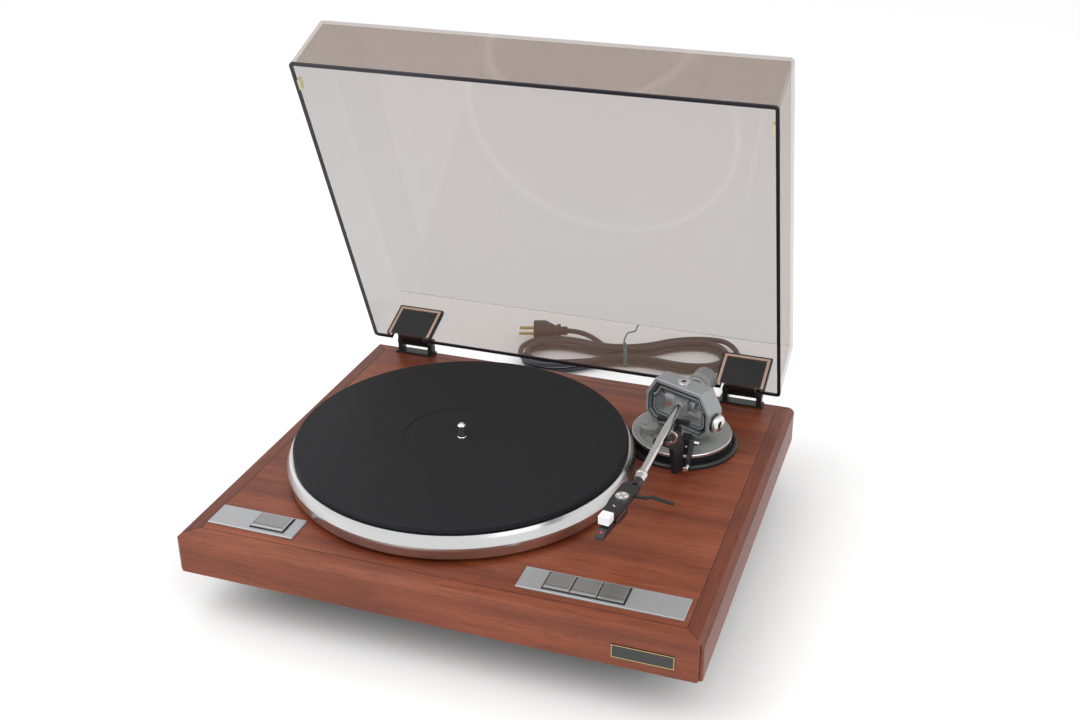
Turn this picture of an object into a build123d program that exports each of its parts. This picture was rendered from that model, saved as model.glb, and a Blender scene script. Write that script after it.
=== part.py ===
# Belt-drive record player: mitred wooden plinth, hinged tinted lid, gimbal tone arm, tied mains lead.
# Millimetres, +Z up, front towards -Y. Origin: centre of the box round the player, on the floor.
import math
import os

from build123d import *

os.makedirs("parts", exist_ok=True)

# Plinth: four mitred rails round a deck, over a smaller tray on feet
plinth_w, plinth_d = 440.0, 380.0
wood_h = 35.0
rail_w = 16.0
bevel = 5.0
corner_round = 2.0
deck_t = 8.0
batten = 6.0
tray_h = 25.0
tray_inset = 30.0
tray_wall = 2.5
flange_inset = 10.0
foot_r, foot_h, pad_h = 17.0, 15.0, 3.0
foot_inset = 70.0

# Lid, measured closed; the angle is how far it stands open
lid_w, lid_l, lid_h, lid_wall = plinth_w - 22, plinth_d - 43, 66.0, 3.0
lid_round = 4.0
lid_gap = 0.4
lid_rear = plinth_d / 2 - 24
lid_open = 68.0

# Lid hinges
hinge_behind, hinge_up = 14.0, 12.5
hinge_x = lid_w / 2 - 38.5
hinge_plate_w, hinge_plate_d, hinge_plate_t = 41.0, 11.0, 2.0
barrel_r, barrel_w = 5.0, 27.0
leaf_w, leaf_low, leaf_high, leaf_t = 37.0, 10.0, 33.0, 2.5
pocket_w, pocket_h, pocket_t = 47.0, 39.0, 1.5
pin_r = 1.5

# Platter, heights above the deck
platter_x, platter_y = -39.6, -12.6
platter_r, platter_top, platter_low = 152.0, 23.9, 3.9
platter_skin, rim_w = 5.5, 12.0
mat_r, mat_top = 146.0, 29.7
label_r = 52.0
spindle_r, spindle_above_mat = 3.57, 12.0
pin_root_r, label_deep = 4.0, 0.8
shaft_r, shaft_low = 5.0, -28.0
drive_r, drive_low, drive_t = 75.0, 5.5, 7.0
pulley_r, pulley_reach = 6.0, 96.0
belt_w, belt_t = 5.0, 0.6

# Control plates and buttons
plate_t = 1.5
front_y = -plinth_d / 2
left_plate = (-plinth_w / 2 + 16.8, -plinth_w / 2 + 94.6, front_y + 24.0, front_y + 51.2)
right_plate = (plinth_w / 2 - 153.0, plinth_w / 2 - 20.0, front_y + 22.6, front_y + 49.8)
button_travel = 2.0
button_high = 3.5
power_x, power_y, power_w, power_d = -plinth_w / 2 + 69.2, front_y + 38.5, 29.0, 19.5
speed_x, speed_y, speed_w, speed_d = plinth_w / 2 - 99.7, front_y + 36.6, 21.0, 20.5
speed_gap = 0.5
front_plate_x, front_plate_z, front_plate_w, front_plate_h, front_plate_t = 175.2, -21.1, 48.6, 11.8, 0.8

# Tone arm, heights above the deck; the gimbal frame is turned to face the middle of a record
arm_x, arm_y = 133.5, 88.5
gimbal_turn = -23.0
base_r, base_h = 51.0, 4.0
disc_r, disc_low, disc_top = 45.5, 9.8, 12.3
frame_wall, frame_half_d, frame_half_w = 4.5, 9.4, 35.4
frame_bottom, frame_top = 16.8, 60.5
ring_gap, ring_wall, ring_half_d = 1.8, 3.5, 6.5
pivot_z, tube_z, tube_r = 42.0, 45.0, 3.5
stylus_reach = 221.0
collar_from, collar_to, collar_r = 136.5, 149.5, 5.0
head_turn = 8.0
weight_turn = 10.0
weight_r, weight_from, weight_l = 11.0, 26.0, 27.0
dial_x, dial_y, dial_r, dial_h = 106.0, 77.0, 8.5, 6.0
rest_y = 15.0
clip_open = 90.0
lift_x, lift_y, lift_drop = 137.0, 55.5, 4.0

# Cords lying behind the plinth
lead_r, earth_r = 3.0, 1.2
hank_x, hank_y, hank_turn = -3.0, 378.0, 18.0
hank_half, lobe_out, hank_step = 85.0, 21.0, 3.9
hank_low, hank_layer = 4.7, 6.9
plug_l = 40.0

# Clearances
running = 0.05
slide_gap = 0.3
seat_gap = 0.3

# Heights of the main levels above the floor
tray_z = pad_h + foot_h
wood_z = tray_z + tray_h
deck_z = wood_z + wood_h

# The origin halfway between the front plate and the back of the open lid
open_rad = math.radians(lid_open)
hinge_y = lid_rear + hinge_behind
lid_back = (
    hinge_y
    - (hinge_behind + lid_round) * math.cos(open_rad)
    + (lid_gap + lid_h - hinge_up - lid_round) * math.sin(open_rad)
    + lid_round
)
plinth_y = (plinth_d / 2 + front_plate_t - lid_back) / 2


def spot(x, y, z=0.0):
    """A point given from the plinth's centre and the deck's top."""
    return (x, plinth_y + y, deck_z + z)


def level(z):
    """The horizontal plane at a height above the deck, centred on the plinth."""
    return Plane(origin=spot(0, 0, z))


def save(piece, name):
    """Names the piece and writes it."""
    piece.part.label = name
    export_step(piece.part, f"parts/{name}.step")


# Four rails mitred at the corners, with a bevelled outer top edge
outer = [(-plinth_w / 2, -plinth_d / 2), (plinth_w / 2, -plinth_d / 2)]
outer += [(plinth_w / 2, plinth_d / 2), (-plinth_w / 2, plinth_d / 2)]
inner = [(x - math.copysign(rail_w, x), y - math.copysign(rail_w, y)) for x, y in outer]
for i, name in enumerate(["front_rail", "right_rail", "rear_rail", "left_rail"]):
    j = (i + 1) % 4
    middle = Vector((outer[i][0] + outer[j][0]) / 2, plinth_y + (outer[i][1] + outer[j][1]) / 2, deck_z)
    with BuildPart() as rail:
        with BuildSketch(level(-wood_h)):
            with BuildLine():
                Polyline(outer[i], outer[j], inner[j], inner[i], close=True)
            make_face()
        extrude(amount=wood_h)
        top_edges = rail.edges().group_by(Axis.Z)[-1]
        chamfer(top_edges.sort_by(lambda e: (e.center() - middle).length)[0], bevel)
        corners = rail.edges().filter_by(Axis.Z).sort_by(lambda e: -(e.center() - middle).length)[0:2]
        fillet(corners, corner_round)
    save(rail, name)

# Deck between the rails, with its holes, and battens under its edges
deck_w, deck_d = plinth_w - 2 * rail_w, plinth_d - 2 * rail_w
bearing_r = 12.0
pulley_at = (
    platter_x - pulley_reach * math.cos(math.pi / 4),
    platter_y + pulley_reach * math.sin(math.pi / 4),
)
pulley_hole_r = pulley_r + 6
pillar_r = 12.0
speed_window = (3 * speed_w + 2 * speed_gap + 2 * slide_gap, speed_d + 2 * slide_gap)
power_window = (power_w + 2 * slide_gap, power_d + 2 * slide_gap)
with BuildPart() as top_panel:
    with BuildSketch(level(-deck_t)):
        Rectangle(deck_w, deck_d)
        with Locations((platter_x, platter_y)):
            Circle(bearing_r, mode=Mode.SUBTRACT)
        with Locations(pulley_at):
            Circle(pulley_hole_r, mode=Mode.SUBTRACT)
        with Locations((arm_x, arm_y)):
            Circle(pillar_r, mode=Mode.SUBTRACT)
        with Locations((speed_x, speed_y)):
            Rectangle(*speed_window, mode=Mode.SUBTRACT)
        with Locations((power_x, power_y)):
            Rectangle(*power_window, mode=Mode.SUBTRACT)
    extrude(amount=deck_t)
    with BuildSketch(level(-deck_t - batten)):
        for side in (-1, 1):
            with Locations((side * (deck_w - batten) / 2, 0)):
                Rectangle(batten, deck_d - 4 * batten)
            with Locations((0, side * (deck_d - batten) / 2)):
                Rectangle(deck_w - 4 * batten, batten)
    extrude(amount=batten)
save(top_panel, "top_panel")

# Tray under the rails: a floor, four walls, and a flange that the rails stand on
flange_t = 3.0
vent_l, vent_w, vent_pitch, vent_n = 50.0, 3.0, 9.0, 9
tray_w, tray_d = plinth_w - 2 * tray_inset, plinth_d - 2 * tray_inset
flange_w, flange_d = plinth_w - 2 * flange_inset, plinth_d - 2 * flange_inset
gland_x, gland_z = 118.0, -50.0
earth_x, earth_z = 40.0, -50.0
gland_wall = 2.0
board_w, board_d, board_t, post_h = 110.0, 70.0, 1.6, 6.0
board_at = (95.0, -75.0)
tray_floor = -wood_h - tray_h + tray_wall
with BuildPart() as base_tray:
    with BuildSketch(level(-wood_h - tray_h)):
        RectangleRounded(tray_w, tray_d, 8)
    extrude(amount=tray_h)
    with BuildSketch(level(-wood_h - flange_t)):
        Rectangle(flange_w, flange_d)
    extrude(amount=flange_t)
    with BuildSketch(level(-wood_h - tray_h + tray_wall)):
        RectangleRounded(tray_w - 2 * tray_wall, tray_d - 2 * tray_wall, 8 - tray_wall)
    extrude(amount=tray_h, mode=Mode.SUBTRACT)
    with BuildSketch(level(-wood_h - tray_h)):
        with GridLocations(0, vent_pitch, 1, vent_n):
            SlotOverall(vent_l, vent_w)
    extrude(amount=tray_wall, mode=Mode.SUBTRACT)
    with Locations(spot(gland_x, tray_d / 2 - tray_wall / 2, gland_z)):
        Cylinder(lead_r + gland_wall, 2 * tray_wall, rotation=(90, 0, 0), mode=Mode.SUBTRACT)
    with Locations(spot(earth_x, tray_d / 2 - tray_wall / 2, earth_z)):
        Cylinder(earth_r + gland_wall, 2 * tray_wall, rotation=(90, 0, 0), mode=Mode.SUBTRACT)
    with BuildSketch(level(tray_floor)):
        with Locations(board_at):
            with GridLocations(board_w - 12, board_d - 12, 2, 2):
                Circle(3)
    extrude(amount=post_h)
save(base_tray, "base_tray")

# Feet: hard cups with soft pads under them
feet_at = [
    (sx * (plinth_w / 2 - foot_inset), sy * (plinth_d / 2 - foot_inset)) for sx in (-1, 1) for sy in (-1, 1)
]
with BuildPart() as feet:
    with BuildSketch(Plane(origin=(0, plinth_y, pad_h))):
        with Locations(feet_at):
            Circle(foot_r)
    extrude(amount=foot_h, taper=-4)
    with BuildSketch(Plane(origin=(0, plinth_y, 0))):
        with Locations(feet_at):
            Circle(foot_r - 1.5)
            Circle(foot_r / 2, mode=Mode.SUBTRACT)
    extrude(amount=pad_h)
save(feet, "feet")

# Bearing under the platter: a flanged sleeve closed below, with a ball on its floor
housing_r, housing_wall, ball_r = 11.0, 3.0, 2.5
ball_top = shaft_low - running
housing_floor = ball_top - 2 * ball_r - running
with BuildPart() as bearing_housing:
    with BuildSketch(Plane(origin=spot(platter_x, platter_y), x_dir=(1, 0, 0), z_dir=(0, -1, 0))):
        with BuildLine():
            Polyline(
                (0, housing_floor - housing_wall),
                (housing_r, housing_floor - housing_wall),
                (housing_r, -deck_t - 3),
                (housing_r + 14, -deck_t - 3),
                (housing_r + 14, -deck_t),
                (housing_r, -deck_t),
                (housing_r, drive_low - 1.5),
                (shaft_r + running, drive_low - 1.5),
                (shaft_r + running, housing_floor),
                (0, housing_floor),
                close=True,
            )
        make_face()
    revolve(axis=Axis(spot(platter_x, platter_y), (0, 0, 1)))
    with Locations(spot(platter_x, platter_y, ball_top - ball_r)):
        Sphere(ball_r)
save(bearing_housing, "bearing_housing")

# Spindle: the bearing shaft with the record pin above it
spindle_top = mat_top + spindle_above_mat
hub_top = drive_low + drive_t
with BuildPart() as spindle:
    with BuildSketch(Plane(origin=spot(platter_x, platter_y), x_dir=(1, 0, 0), z_dir=(0, -1, 0))):
        with BuildLine():
            Polyline(
                (0, shaft_low),
                (shaft_r, shaft_low),
                (shaft_r, hub_top),
                (pin_root_r, hub_top),
                (pin_root_r, mat_top - label_deep),
                (spindle_r, mat_top - 0.3),
                (spindle_r, spindle_top - 2),
                (spindle_r - 1.8, spindle_top),
                (0, spindle_top),
                close=True,
            )
        make_face()
    revolve(axis=Axis(spot(platter_x, platter_y), (0, 0, 1)))
save(spindle, "spindle")

# Drive disc inside the platter, with spokes cut between hub and rim
with BuildPart() as drive_disc:
    with BuildSketch(level(drive_low)):
        with Locations((platter_x, platter_y)):
            Circle(drive_r)
            Circle(shaft_r, mode=Mode.SUBTRACT)
            with PolarLocations((drive_r + 18) / 2, 6):
                SlotOverall(38, 22, rotation=0, mode=Mode.SUBTRACT)
    extrude(amount=drive_t)
    with BuildSketch(level(hub_top)):
        with Locations((platter_x, platter_y)):
            Circle(drive_r)
            Circle(drive_r - 6, mode=Mode.SUBTRACT)
    extrude(amount=platter_top - platter_skin - hub_top)
save(drive_disc, "drive_disc")

# Platter: a turned dish upside down, its outer face in two bands
platter_foot_r = platter_r - 1.5
platter_lip_r = platter_r - 2.5
band_z = 13.4
with BuildPart() as platter:
    with BuildSketch(Plane(origin=spot(platter_x, platter_y), x_dir=(1, 0, 0), z_dir=(0, -1, 0))):
        with BuildLine():
            Polyline(
                (pin_root_r, platter_top - platter_skin),
                (platter_r - rim_w, platter_top - platter_skin),
                (platter_r - rim_w, platter_low),
                (platter_foot_r, platter_low),
                (platter_r, band_z - 1),
                (platter_r, band_z + 1),
                (platter_lip_r, platter_top - 3),
                (platter_lip_r - 1.5, platter_top),
                (pin_root_r, platter_top),
                close=True,
            )
        make_face()
    revolve(axis=Axis(spot(platter_x, platter_y), (0, 0, 1)))
save(platter, "platter")

# Rubber mat with a shallow label recess
with BuildPart() as platter_mat:
    with BuildSketch(Plane(origin=spot(platter_x, platter_y), x_dir=(1, 0, 0), z_dir=(0, -1, 0))):
        with BuildLine():
            Polyline(
                (pin_root_r + 0.3, platter_top),
                (mat_r - 1, platter_top),
                (mat_r, platter_top + 1),
                (mat_r, mat_top - 1.5),
                (mat_r - 1.5, mat_top),
                (label_r, mat_top),
                (label_r - 1, mat_top - label_deep),
                (pin_root_r + 0.3, mat_top - label_deep),
                close=True,
            )
        make_face()
    revolve(axis=Axis(spot(platter_x, platter_y), (0, 0, 1)))
save(platter_mat, "platter_mat")

# Motor hung below the deck on a plate with three rubber bushes
motor_r, motor_h, motor_plate_t, bush_h = 25.0, 27.0, 2.0, 4.0
motor_top = -deck_t - bush_h - motor_plate_t
motor_shaft_r = 1.6
bush_reach = motor_r + 8
with BuildPart() as motor_mount:
    with BuildSketch(level(motor_top)):
        with Locations(pulley_at):
            with PolarLocations(bush_reach, 3):
                Circle(6)
        make_hull()
        with Locations(pulley_at):
            Circle(motor_shaft_r + 2, mode=Mode.SUBTRACT)
    extrude(amount=motor_plate_t)
    with BuildSketch(level(motor_top + motor_plate_t)):
        with Locations(pulley_at):
            with PolarLocations(bush_reach, 3):
                Circle(5)
    extrude(amount=bush_h)
save(motor_mount, "motor_mount")
with BuildPart() as motor:
    with BuildSketch(level(motor_top - motor_h)):
        with Locations(pulley_at):
            Circle(motor_r)
    extrude(amount=motor_h)
    chamfer(motor.edges().group_by(Axis.Z)[0], 2)
    with BuildSketch(level(motor_top - motor_h / 2)):
        with Locations(pulley_at):
            Circle(motor_shaft_r + running)
    extrude(amount=motor_h, mode=Mode.SUBTRACT)
save(motor, "motor")

# Motor pulley with raised flanges that keep the belt on
belt_z = drive_low + drive_t / 2
with BuildPart() as motor_pulley:
    with BuildSketch(Plane(origin=spot(*pulley_at), x_dir=(1, 0, 0), z_dir=(0, -1, 0))):
        with BuildLine():
            Polyline(
                (0, motor_top - motor_h / 2 + 1),
                (motor_shaft_r, motor_top - motor_h / 2 + 1),
                (motor_shaft_r, belt_z - 5),
                (pulley_r + 1.5, belt_z - 5),
                (pulley_r + 1.5, belt_z - 3.5),
                (pulley_r, belt_z - 3),
                (pulley_r, belt_z + 3),
                (pulley_r + 1.5, belt_z + 3.5),
                (pulley_r + 1.5, belt_z + 5),
                (0, belt_z + 5),
                close=True,
            )
        make_face()
    revolve(axis=Axis(spot(*pulley_at), (0, 0, 1)))
save(motor_pulley, "motor_pulley")

# Flat belt round pulley and drive disc
with BuildPart() as drive_belt:
    for grow, mode in ((belt_t + seat_gap, Mode.ADD), (seat_gap, Mode.SUBTRACT)):
        with BuildSketch(level(belt_z - belt_w / 2)):
            with Locations((platter_x, platter_y)):
                Circle(drive_r + grow)
            with Locations(pulley_at):
                Circle(pulley_r + grow)
            make_hull()
        extrude(amount=belt_w, mode=mode)
save(drive_belt, "drive_belt")

# Circuit board on the tray's posts, and the mains transformer beside it
with BuildPart() as circuit_board:
    with BuildSketch(level(tray_floor + post_h)):
        with Locations(board_at):
            Rectangle(board_w, board_d)
    extrude(amount=board_t)
    with BuildSketch(level(tray_floor + post_h + board_t)):
        with Locations(board_at):
            with GridLocations(30, 22, 3, 2):
                Rectangle(10, 7)
    extrude(amount=5)
save(circuit_board, "circuit_board")
core_w, core_d, core_h = 44.0, 38.0, 30.0
core_at = (40 - tray_w / 2, -70.0)
with BuildPart() as transformer:
    with BuildSketch(level(tray_floor)):
        with Locations(core_at):
            Rectangle(core_w, core_d)
    extrude(amount=core_h)
    with BuildSketch(level(tray_floor + 6)):
        with Locations(core_at):
            RectangleRounded(core_w - 12, core_d + 14, 4)
    extrude(amount=core_h - 12)
save(transformer, "transformer")

# Switch blocks under the deck, with a guide hole for each button's stem
stem_w, stem_low, switch_h = 6.0, -12.0, 12.0
guide_low = stem_low - button_travel - 1.5
speed_pitch = speed_w + speed_gap
speed_spots = [(speed_x + (i - 1) * speed_pitch, speed_y) for i in range(3)]
with BuildPart() as switch_blocks:
    with BuildSketch(level(-deck_t - switch_h)):
        with Locations((speed_x, speed_y)):
            Rectangle(speed_window[0] + 8, speed_window[1] + 4)
        with Locations((power_x, power_y)):
            Rectangle(power_window[0] + 6, power_window[1] + 4)
    extrude(amount=switch_h)
    with BuildSketch(level(guide_low)):
        with Locations(speed_spots + [(power_x, power_y)]):
            Rectangle(stem_w + 2 * slide_gap, stem_w + 2 * slide_gap)
    extrude(amount=switch_h, mode=Mode.SUBTRACT)
save(switch_blocks, "switch_blocks")

# Bare metal plates round the buttons
plates = [(left_plate, (power_x, power_y), power_window), (right_plate, (speed_x, speed_y), speed_window)]
with BuildPart() as control_plates:
    with BuildSketch(level(0)):
        for (x0, x1, y0, y1), window_at, window in plates:
            with Locations(((x0 + x1) / 2, (y0 + y1) / 2)):
                Rectangle(x1 - x0, y1 - y0)
            with Locations(window_at):
                Rectangle(*window, mode=Mode.SUBTRACT)
    extrude(amount=plate_t)
    for top_face in control_plates.faces().group_by(Axis.Z)[-1]:
        chamfer(top_face.outer_wire().edges(), 0.6)
save(control_plates, "control_plates")

# Push buttons: a bevelled cap on a stem
buttons = {"power_button": ((power_x, power_y), power_w, power_d)}
for place, name in zip(speed_spots, ["speed_button_33", "speed_button_45", "speed_button_78"]):
    buttons[name] = (place, speed_w, speed_d)
for name, (place, cap_w, cap_d) in buttons.items():
    with BuildPart() as button:
        with BuildSketch(level(-2)):
            with Locations(place):
                Rectangle(cap_w, cap_d)
        extrude(amount=button_high + 2)
        chamfer(button.faces().sort_by(Axis.Z)[-1].edges(), 1.0)
        with BuildSketch(level(stem_low)):
            with Locations(place):
                Rectangle(stem_w, stem_w)
        extrude(amount=-2 - stem_low)
    save(button, name)

# Bare plate on the front rail
with BuildPart() as front_plate:
    with BuildSketch(Plane(origin=spot(0, -plinth_d / 2), x_dir=(1, 0, 0), z_dir=(0, -1, 0))):
        with Locations((front_plate_x, front_plate_z)):
            RectangleRounded(front_plate_w, front_plate_h, 1)
    extrude(amount=front_plate_t)
save(front_plate, "front_plate")

# Black ring on the deck and the grey disc on its collar
skirt_r = disc_r - 2.5
with BuildPart() as arm_base_ring:
    with BuildSketch(Plane(origin=spot(arm_x, arm_y), x_dir=(1, 0, 0), z_dir=(0, -1, 0))):
        with BuildLine():
            Polyline(
                (pillar_r, 0),
                (base_r, 0),
                (base_r, base_h - 1.5),
                (base_r - 1.5, base_h),
                (base_r - 3.5, base_h),
                (base_r - 5, base_h - 2),
                (skirt_r, base_h - 2),
                (skirt_r, disc_low),
                (pillar_r, disc_low),
                close=True,
            )
        make_face()
    revolve(axis=Axis(spot(arm_x, arm_y), (0, 0, 1)))
save(arm_base_ring, "arm_base_ring")
with BuildPart() as arm_base_disc:
    with BuildSketch(level(disc_low)):
        with Locations((arm_x, arm_y)):
            Circle(disc_r)
            Circle(pillar_r, mode=Mode.SUBTRACT)
    extrude(amount=disc_top - disc_low)
    chamfer(arm_base_disc.edges().group_by(Axis.Z)[-1].sort_by(SortBy.RADIUS)[-1], 0.6)
save(arm_base_disc, "arm_base_disc")

# Pillar through the deck, held by a nut below
with BuildPart() as arm_pillar:
    with BuildSketch(level(-26)):
        with Locations((arm_x, arm_y)):
            Circle(pillar_r)
    extrude(amount=26 + frame_bottom)
    with BuildSketch(level(-deck_t - 6)):
        with Locations((arm_x, arm_y)):
            RegularPolygon(19, 6)
    extrude(amount=6)
save(arm_pillar, "arm_pillar")

# Gimbal: an eight-sided frame that stands still, and a ring that turns inside it
turn = math.radians(gimbal_turn)
axis_x = (math.cos(turn), math.sin(turn), 0)
gimbal_face = Plane(origin=spot(arm_x, arm_y), x_dir=axis_x, z_dir=(math.sin(turn), -math.cos(turn), 0))
outline = [(25.3, frame_top), (frame_half_w, 43.3), (frame_half_w, 25.3), (27.5, frame_bottom)]
outline += [(-x, z) for x, z in reversed(outline)]
screw_r, point_r, head_r, head_t = 3.0, 1.0, 6.2, 1.2
ring_out = frame_wall + ring_gap
ring_in = ring_out + ring_wall


def eight_sides(inward):
    """The frame's outline on its own plane, drawn in by a wall."""
    with BuildSketch(gimbal_face) as sides:
        with BuildLine():
            Polyline(*outline, close=True)
        make_face()
        if inward:
            offset(amount=-inward, kind=Kind.INTERSECTION, mode=Mode.REPLACE)
    return sides.sketch


with BuildPart() as gimbal_frame:
    extrude(eight_sides(0), amount=frame_half_d, both=True)
    extrude(eight_sides(frame_wall), amount=frame_half_d, both=True, mode=Mode.SUBTRACT)
    front_face = gimbal_frame.faces().sort_by(Axis(gimbal_face.origin, gimbal_face.z_dir))[-1]
    chamfer(front_face.edges(), 0.8)
    with Locations(spot(arm_x, arm_y, (frame_top + frame_bottom) / 2)):
        Cylinder(screw_r, frame_top - frame_bottom + 2, mode=Mode.SUBTRACT)
save(gimbal_frame, "gimbal_frame")

# Pivot screws: the top one has a wide head with a hex socket, and each has a fine point in the ring
with BuildPart() as pivot_screws:
    for flip in (-1, 1):
        bar = frame_top if flip > 0 else frame_bottom
        seat = bar - flip * (frame_wall + ring_gap - seat_gap)
        with BuildSketch(Plane(origin=spot(arm_x, arm_y, seat))):
            Circle(screw_r)
        extrude(amount=flip * abs(bar - seat))
        with BuildSketch(Plane(origin=spot(arm_x, arm_y, seat))):
            Circle(point_r)
        extrude(amount=-flip * (seat_gap + 2))
    with BuildSketch(Plane(origin=spot(arm_x, arm_y, frame_top))):
        Circle(head_r)
        RegularPolygon(2, 6, mode=Mode.SUBTRACT)
    extrude(amount=head_t)
save(pivot_screws, "pivot_screws")

side_plane = Plane(origin=spot(arm_x, arm_y, pivot_z), x_dir=(0, 0, 1), z_dir=axis_x)
ring_half_w = frame_half_w - ring_in
block_half = 16.0
with BuildPart() as gimbal_ring:
    extrude(eight_sides(ring_out), amount=ring_half_d, both=True)
    extrude(eight_sides(ring_in), amount=ring_half_d, both=True, mode=Mode.SUBTRACT)
    for z in (frame_top - ring_out, frame_bottom + ring_out):
        with Locations(spot(arm_x, arm_y, z)):
            Cylinder(point_r + running, 5, mode=Mode.SUBTRACT)
    for side in (-1, 1):
        with BuildSketch(side_plane.offset(side * (ring_half_w + 1))):
            Circle(2.6)
        extrude(amount=-side * (ring_half_w + 1 - block_half - seat_gap))
        with BuildSketch(side_plane.offset(side * (block_half + 1))):
            Circle(point_r)
        extrude(amount=-side * 4)
save(gimbal_ring, "gimbal_ring")

# Arm block: a barrel along the pivot axis, a body along the tube and a stub that leans out behind
block_w, block_h, block_front, block_back = 14.0, 13.0, 14.0, 14.0
lean = math.radians(weight_turn)
back = (math.sin(lean), math.cos(lean), 0)
stub_plane = Plane(origin=spot(arm_x, arm_y, pivot_z), x_dir=(1, 0, 0), z_dir=back)
stub_r = 4.0
tube_plane = Plane(origin=spot(arm_x, arm_y, tube_z), x_dir=(1, 0, 0), z_dir=(0, -1, 0))
with BuildPart() as arm_block:
    with BuildSketch(side_plane):
        Circle(6.0)
    extrude(amount=block_half, both=True)
    with BuildSketch(level(pivot_z - block_h / 2)):
        with Locations((arm_x, arm_y + (block_back - block_front) / 2)):
            Rectangle(block_w, block_front + block_back)
    extrude(amount=block_h)
    with BuildSketch(tube_plane.offset(block_front)):
        Circle(tube_r + 1.2)
    extrude(amount=3)
    for side in (-1, 1):
        with BuildSketch(side_plane.offset(side * block_half)):
            Circle(point_r + running)
        extrude(amount=-side * 4, mode=Mode.SUBTRACT)
    with BuildSketch(tube_plane.offset(block_front + 3)):
        Circle(tube_r)
    extrude(amount=-12, mode=Mode.SUBTRACT)
    with BuildSketch(stub_plane.offset(block_back - 6)):
        Circle(stub_r)
    extrude(amount=weight_from + weight_l + 8 - block_back + 6)
save(arm_block, "arm_block")

# Arm tube and the ringed collar that clamps the headshell
tube_from = block_front - 9
with BuildPart() as arm_tube:
    with BuildSketch(tube_plane.offset(tube_from)):
        Circle(tube_r)
        Circle(tube_r - 0.8, mode=Mode.SUBTRACT)
    extrude(amount=collar_from + 6 - tube_from)
    with BuildSketch(Plane(origin=spot(arm_x, arm_y, tube_z), x_dir=(1, 0, 0), z_dir=(0, 0, 1))):
        with BuildLine():
            Polyline(
                (0, -collar_from - 6),
                (tube_r, -collar_from - 6),
                (tube_r, -collar_from),
                (collar_r - 0.8, -collar_from),
                (collar_r, -collar_from - 1.5),
                (collar_r, -collar_from - 4),
                (collar_r - 0.7, -collar_from - 4.5),
                (collar_r - 0.7, -collar_from - 5.5),
                (collar_r, -collar_from - 6),
                (collar_r, -collar_to),
                (0, -collar_to),
                close=True,
            )
        make_face()
    revolve(axis=Axis(spot(arm_x, arm_y, tube_z), (0, 1, 0)))
save(arm_tube, "arm_tube")

# Headshell with its finger lift, seen from above along its own axis, and what it carries
head = math.radians(head_turn)
head_axis = (-math.sin(head), -math.cos(head), 0)
head_side = (-math.cos(head), math.sin(head), 0)
neck_from = collar_to
head_origin = spot(arm_x, arm_y - neck_from, tube_z)
head_plan = Plane(origin=head_origin, x_dir=head_axis, z_dir=(0, 0, 1))
head_profile = Plane(origin=head_origin, x_dir=head_axis, z_dir=head_side)
shell_low, shell_high = -1.5, 3.0
lock_at = 31.0
nose_from, nose_l, nose_w = 56.0, 10.0, 9.5
tip_at = math.sqrt(stylus_reach**2 - (collar_to * math.sin(head)) ** 2) - collar_to * math.cos(head)
tip_z = mat_top + 2.3 - tube_z
with BuildPart() as headshell:
    with BuildSketch(head_plan.offset(shell_low)):
        with BuildLine():
            Polyline(
                (6, -4),
                (12, -8.5),
                (36, -8),
                (nose_from, -5.5),
                (nose_from, 5.5),
                (36, 7),
                (14, 7),
                (6, 4),
                close=True,
            )
        make_face()
    extrude(amount=shell_high - shell_low)
    fillet(headshell.edges().filter_by(Axis.Z), 1.2)
    with BuildSketch(head_plan.offset(-9)):
        with Locations((20, -4.5)):
            RectangleRounded(16, 8, 1)
    extrude(amount=9 + shell_low)
    with BuildSketch(tube_plane.offset(neck_from)):
        Circle(4.2)
    extrude(amount=9)
    with BuildSketch(tube_plane.offset(neck_from + 22)):
        with BuildLine():
            Polyline(
                (1, 0.5), (13, 0.5), (17, 2.5), (36, -0.5), (36, 0.9), (17, 4), (12.5, 2), (1, 2), close=True
            )
        make_face()
    extrude(amount=3.2)
save(headshell, "headshell")
with BuildPart() as head_lock:
    with BuildSketch(head_plan.offset(shell_high)):
        with Locations((lock_at, 0)):
            Circle(5.6)
    extrude(amount=1.4)
    with BuildSketch(head_plan.offset(shell_high + 0.8)):
        with Locations((lock_at, 0)):
            with PolarLocations(3.2, 4):
                Circle(1.4)
    extrude(amount=1, mode=Mode.SUBTRACT)
save(head_lock, "head_lock")
with BuildPart() as head_nose:
    with BuildSketch(head_plan.offset(-2.5)):
        with Locations((nose_from + nose_l / 2, 0)):
            Rectangle(nose_l, nose_w)
    extrude(amount=6.5)
    chamfer(head_nose.edges().filter_by(Axis.Z), 0.8)
save(head_nose, "head_nose")

# Cartridge body under the shell, and the stylus carrier slotted in its nose
with BuildPart() as cartridge:
    with BuildSketch(head_profile):
        with BuildLine():
            Polyline((34, -9), (34, shell_low), (nose_from, shell_low), (nose_from, -5.5), (50, -9), close=True)
        make_face()
    extrude(amount=6.5, both=True)
    pin_origin = head_plan.from_local_coords(Vector(34, 0, 0))
    with BuildSketch(Plane(origin=pin_origin, x_dir=head_side, z_dir=head_axis)):
        with Locations((0, 5.2)):
            with GridLocations(4, 3.4, 2, 2):
                Circle(0.6)
    extrude(amount=-4)
save(cartridge, "cartridge")
with BuildPart() as stylus:
    with BuildSketch(head_profile):
        with BuildLine():
            Polyline(
                (40, -11.5),
                (40, -9),
                (50, -9),
                (nose_from, -5.5),
                (tip_at - 6, -5.5),
                (tip_at + 1, -9.5),
                (tip_at + 2, -11.5),
                close=True,
            )
        make_face()
    extrude(amount=3.5, both=True)
    with BuildSketch(head_plan.offset(tip_z)):
        with Locations((tip_at, 0)):
            Circle(0.25)
    extrude(amount=-11.5 - tip_z, taper=-12)
save(stylus, "stylus")

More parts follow.
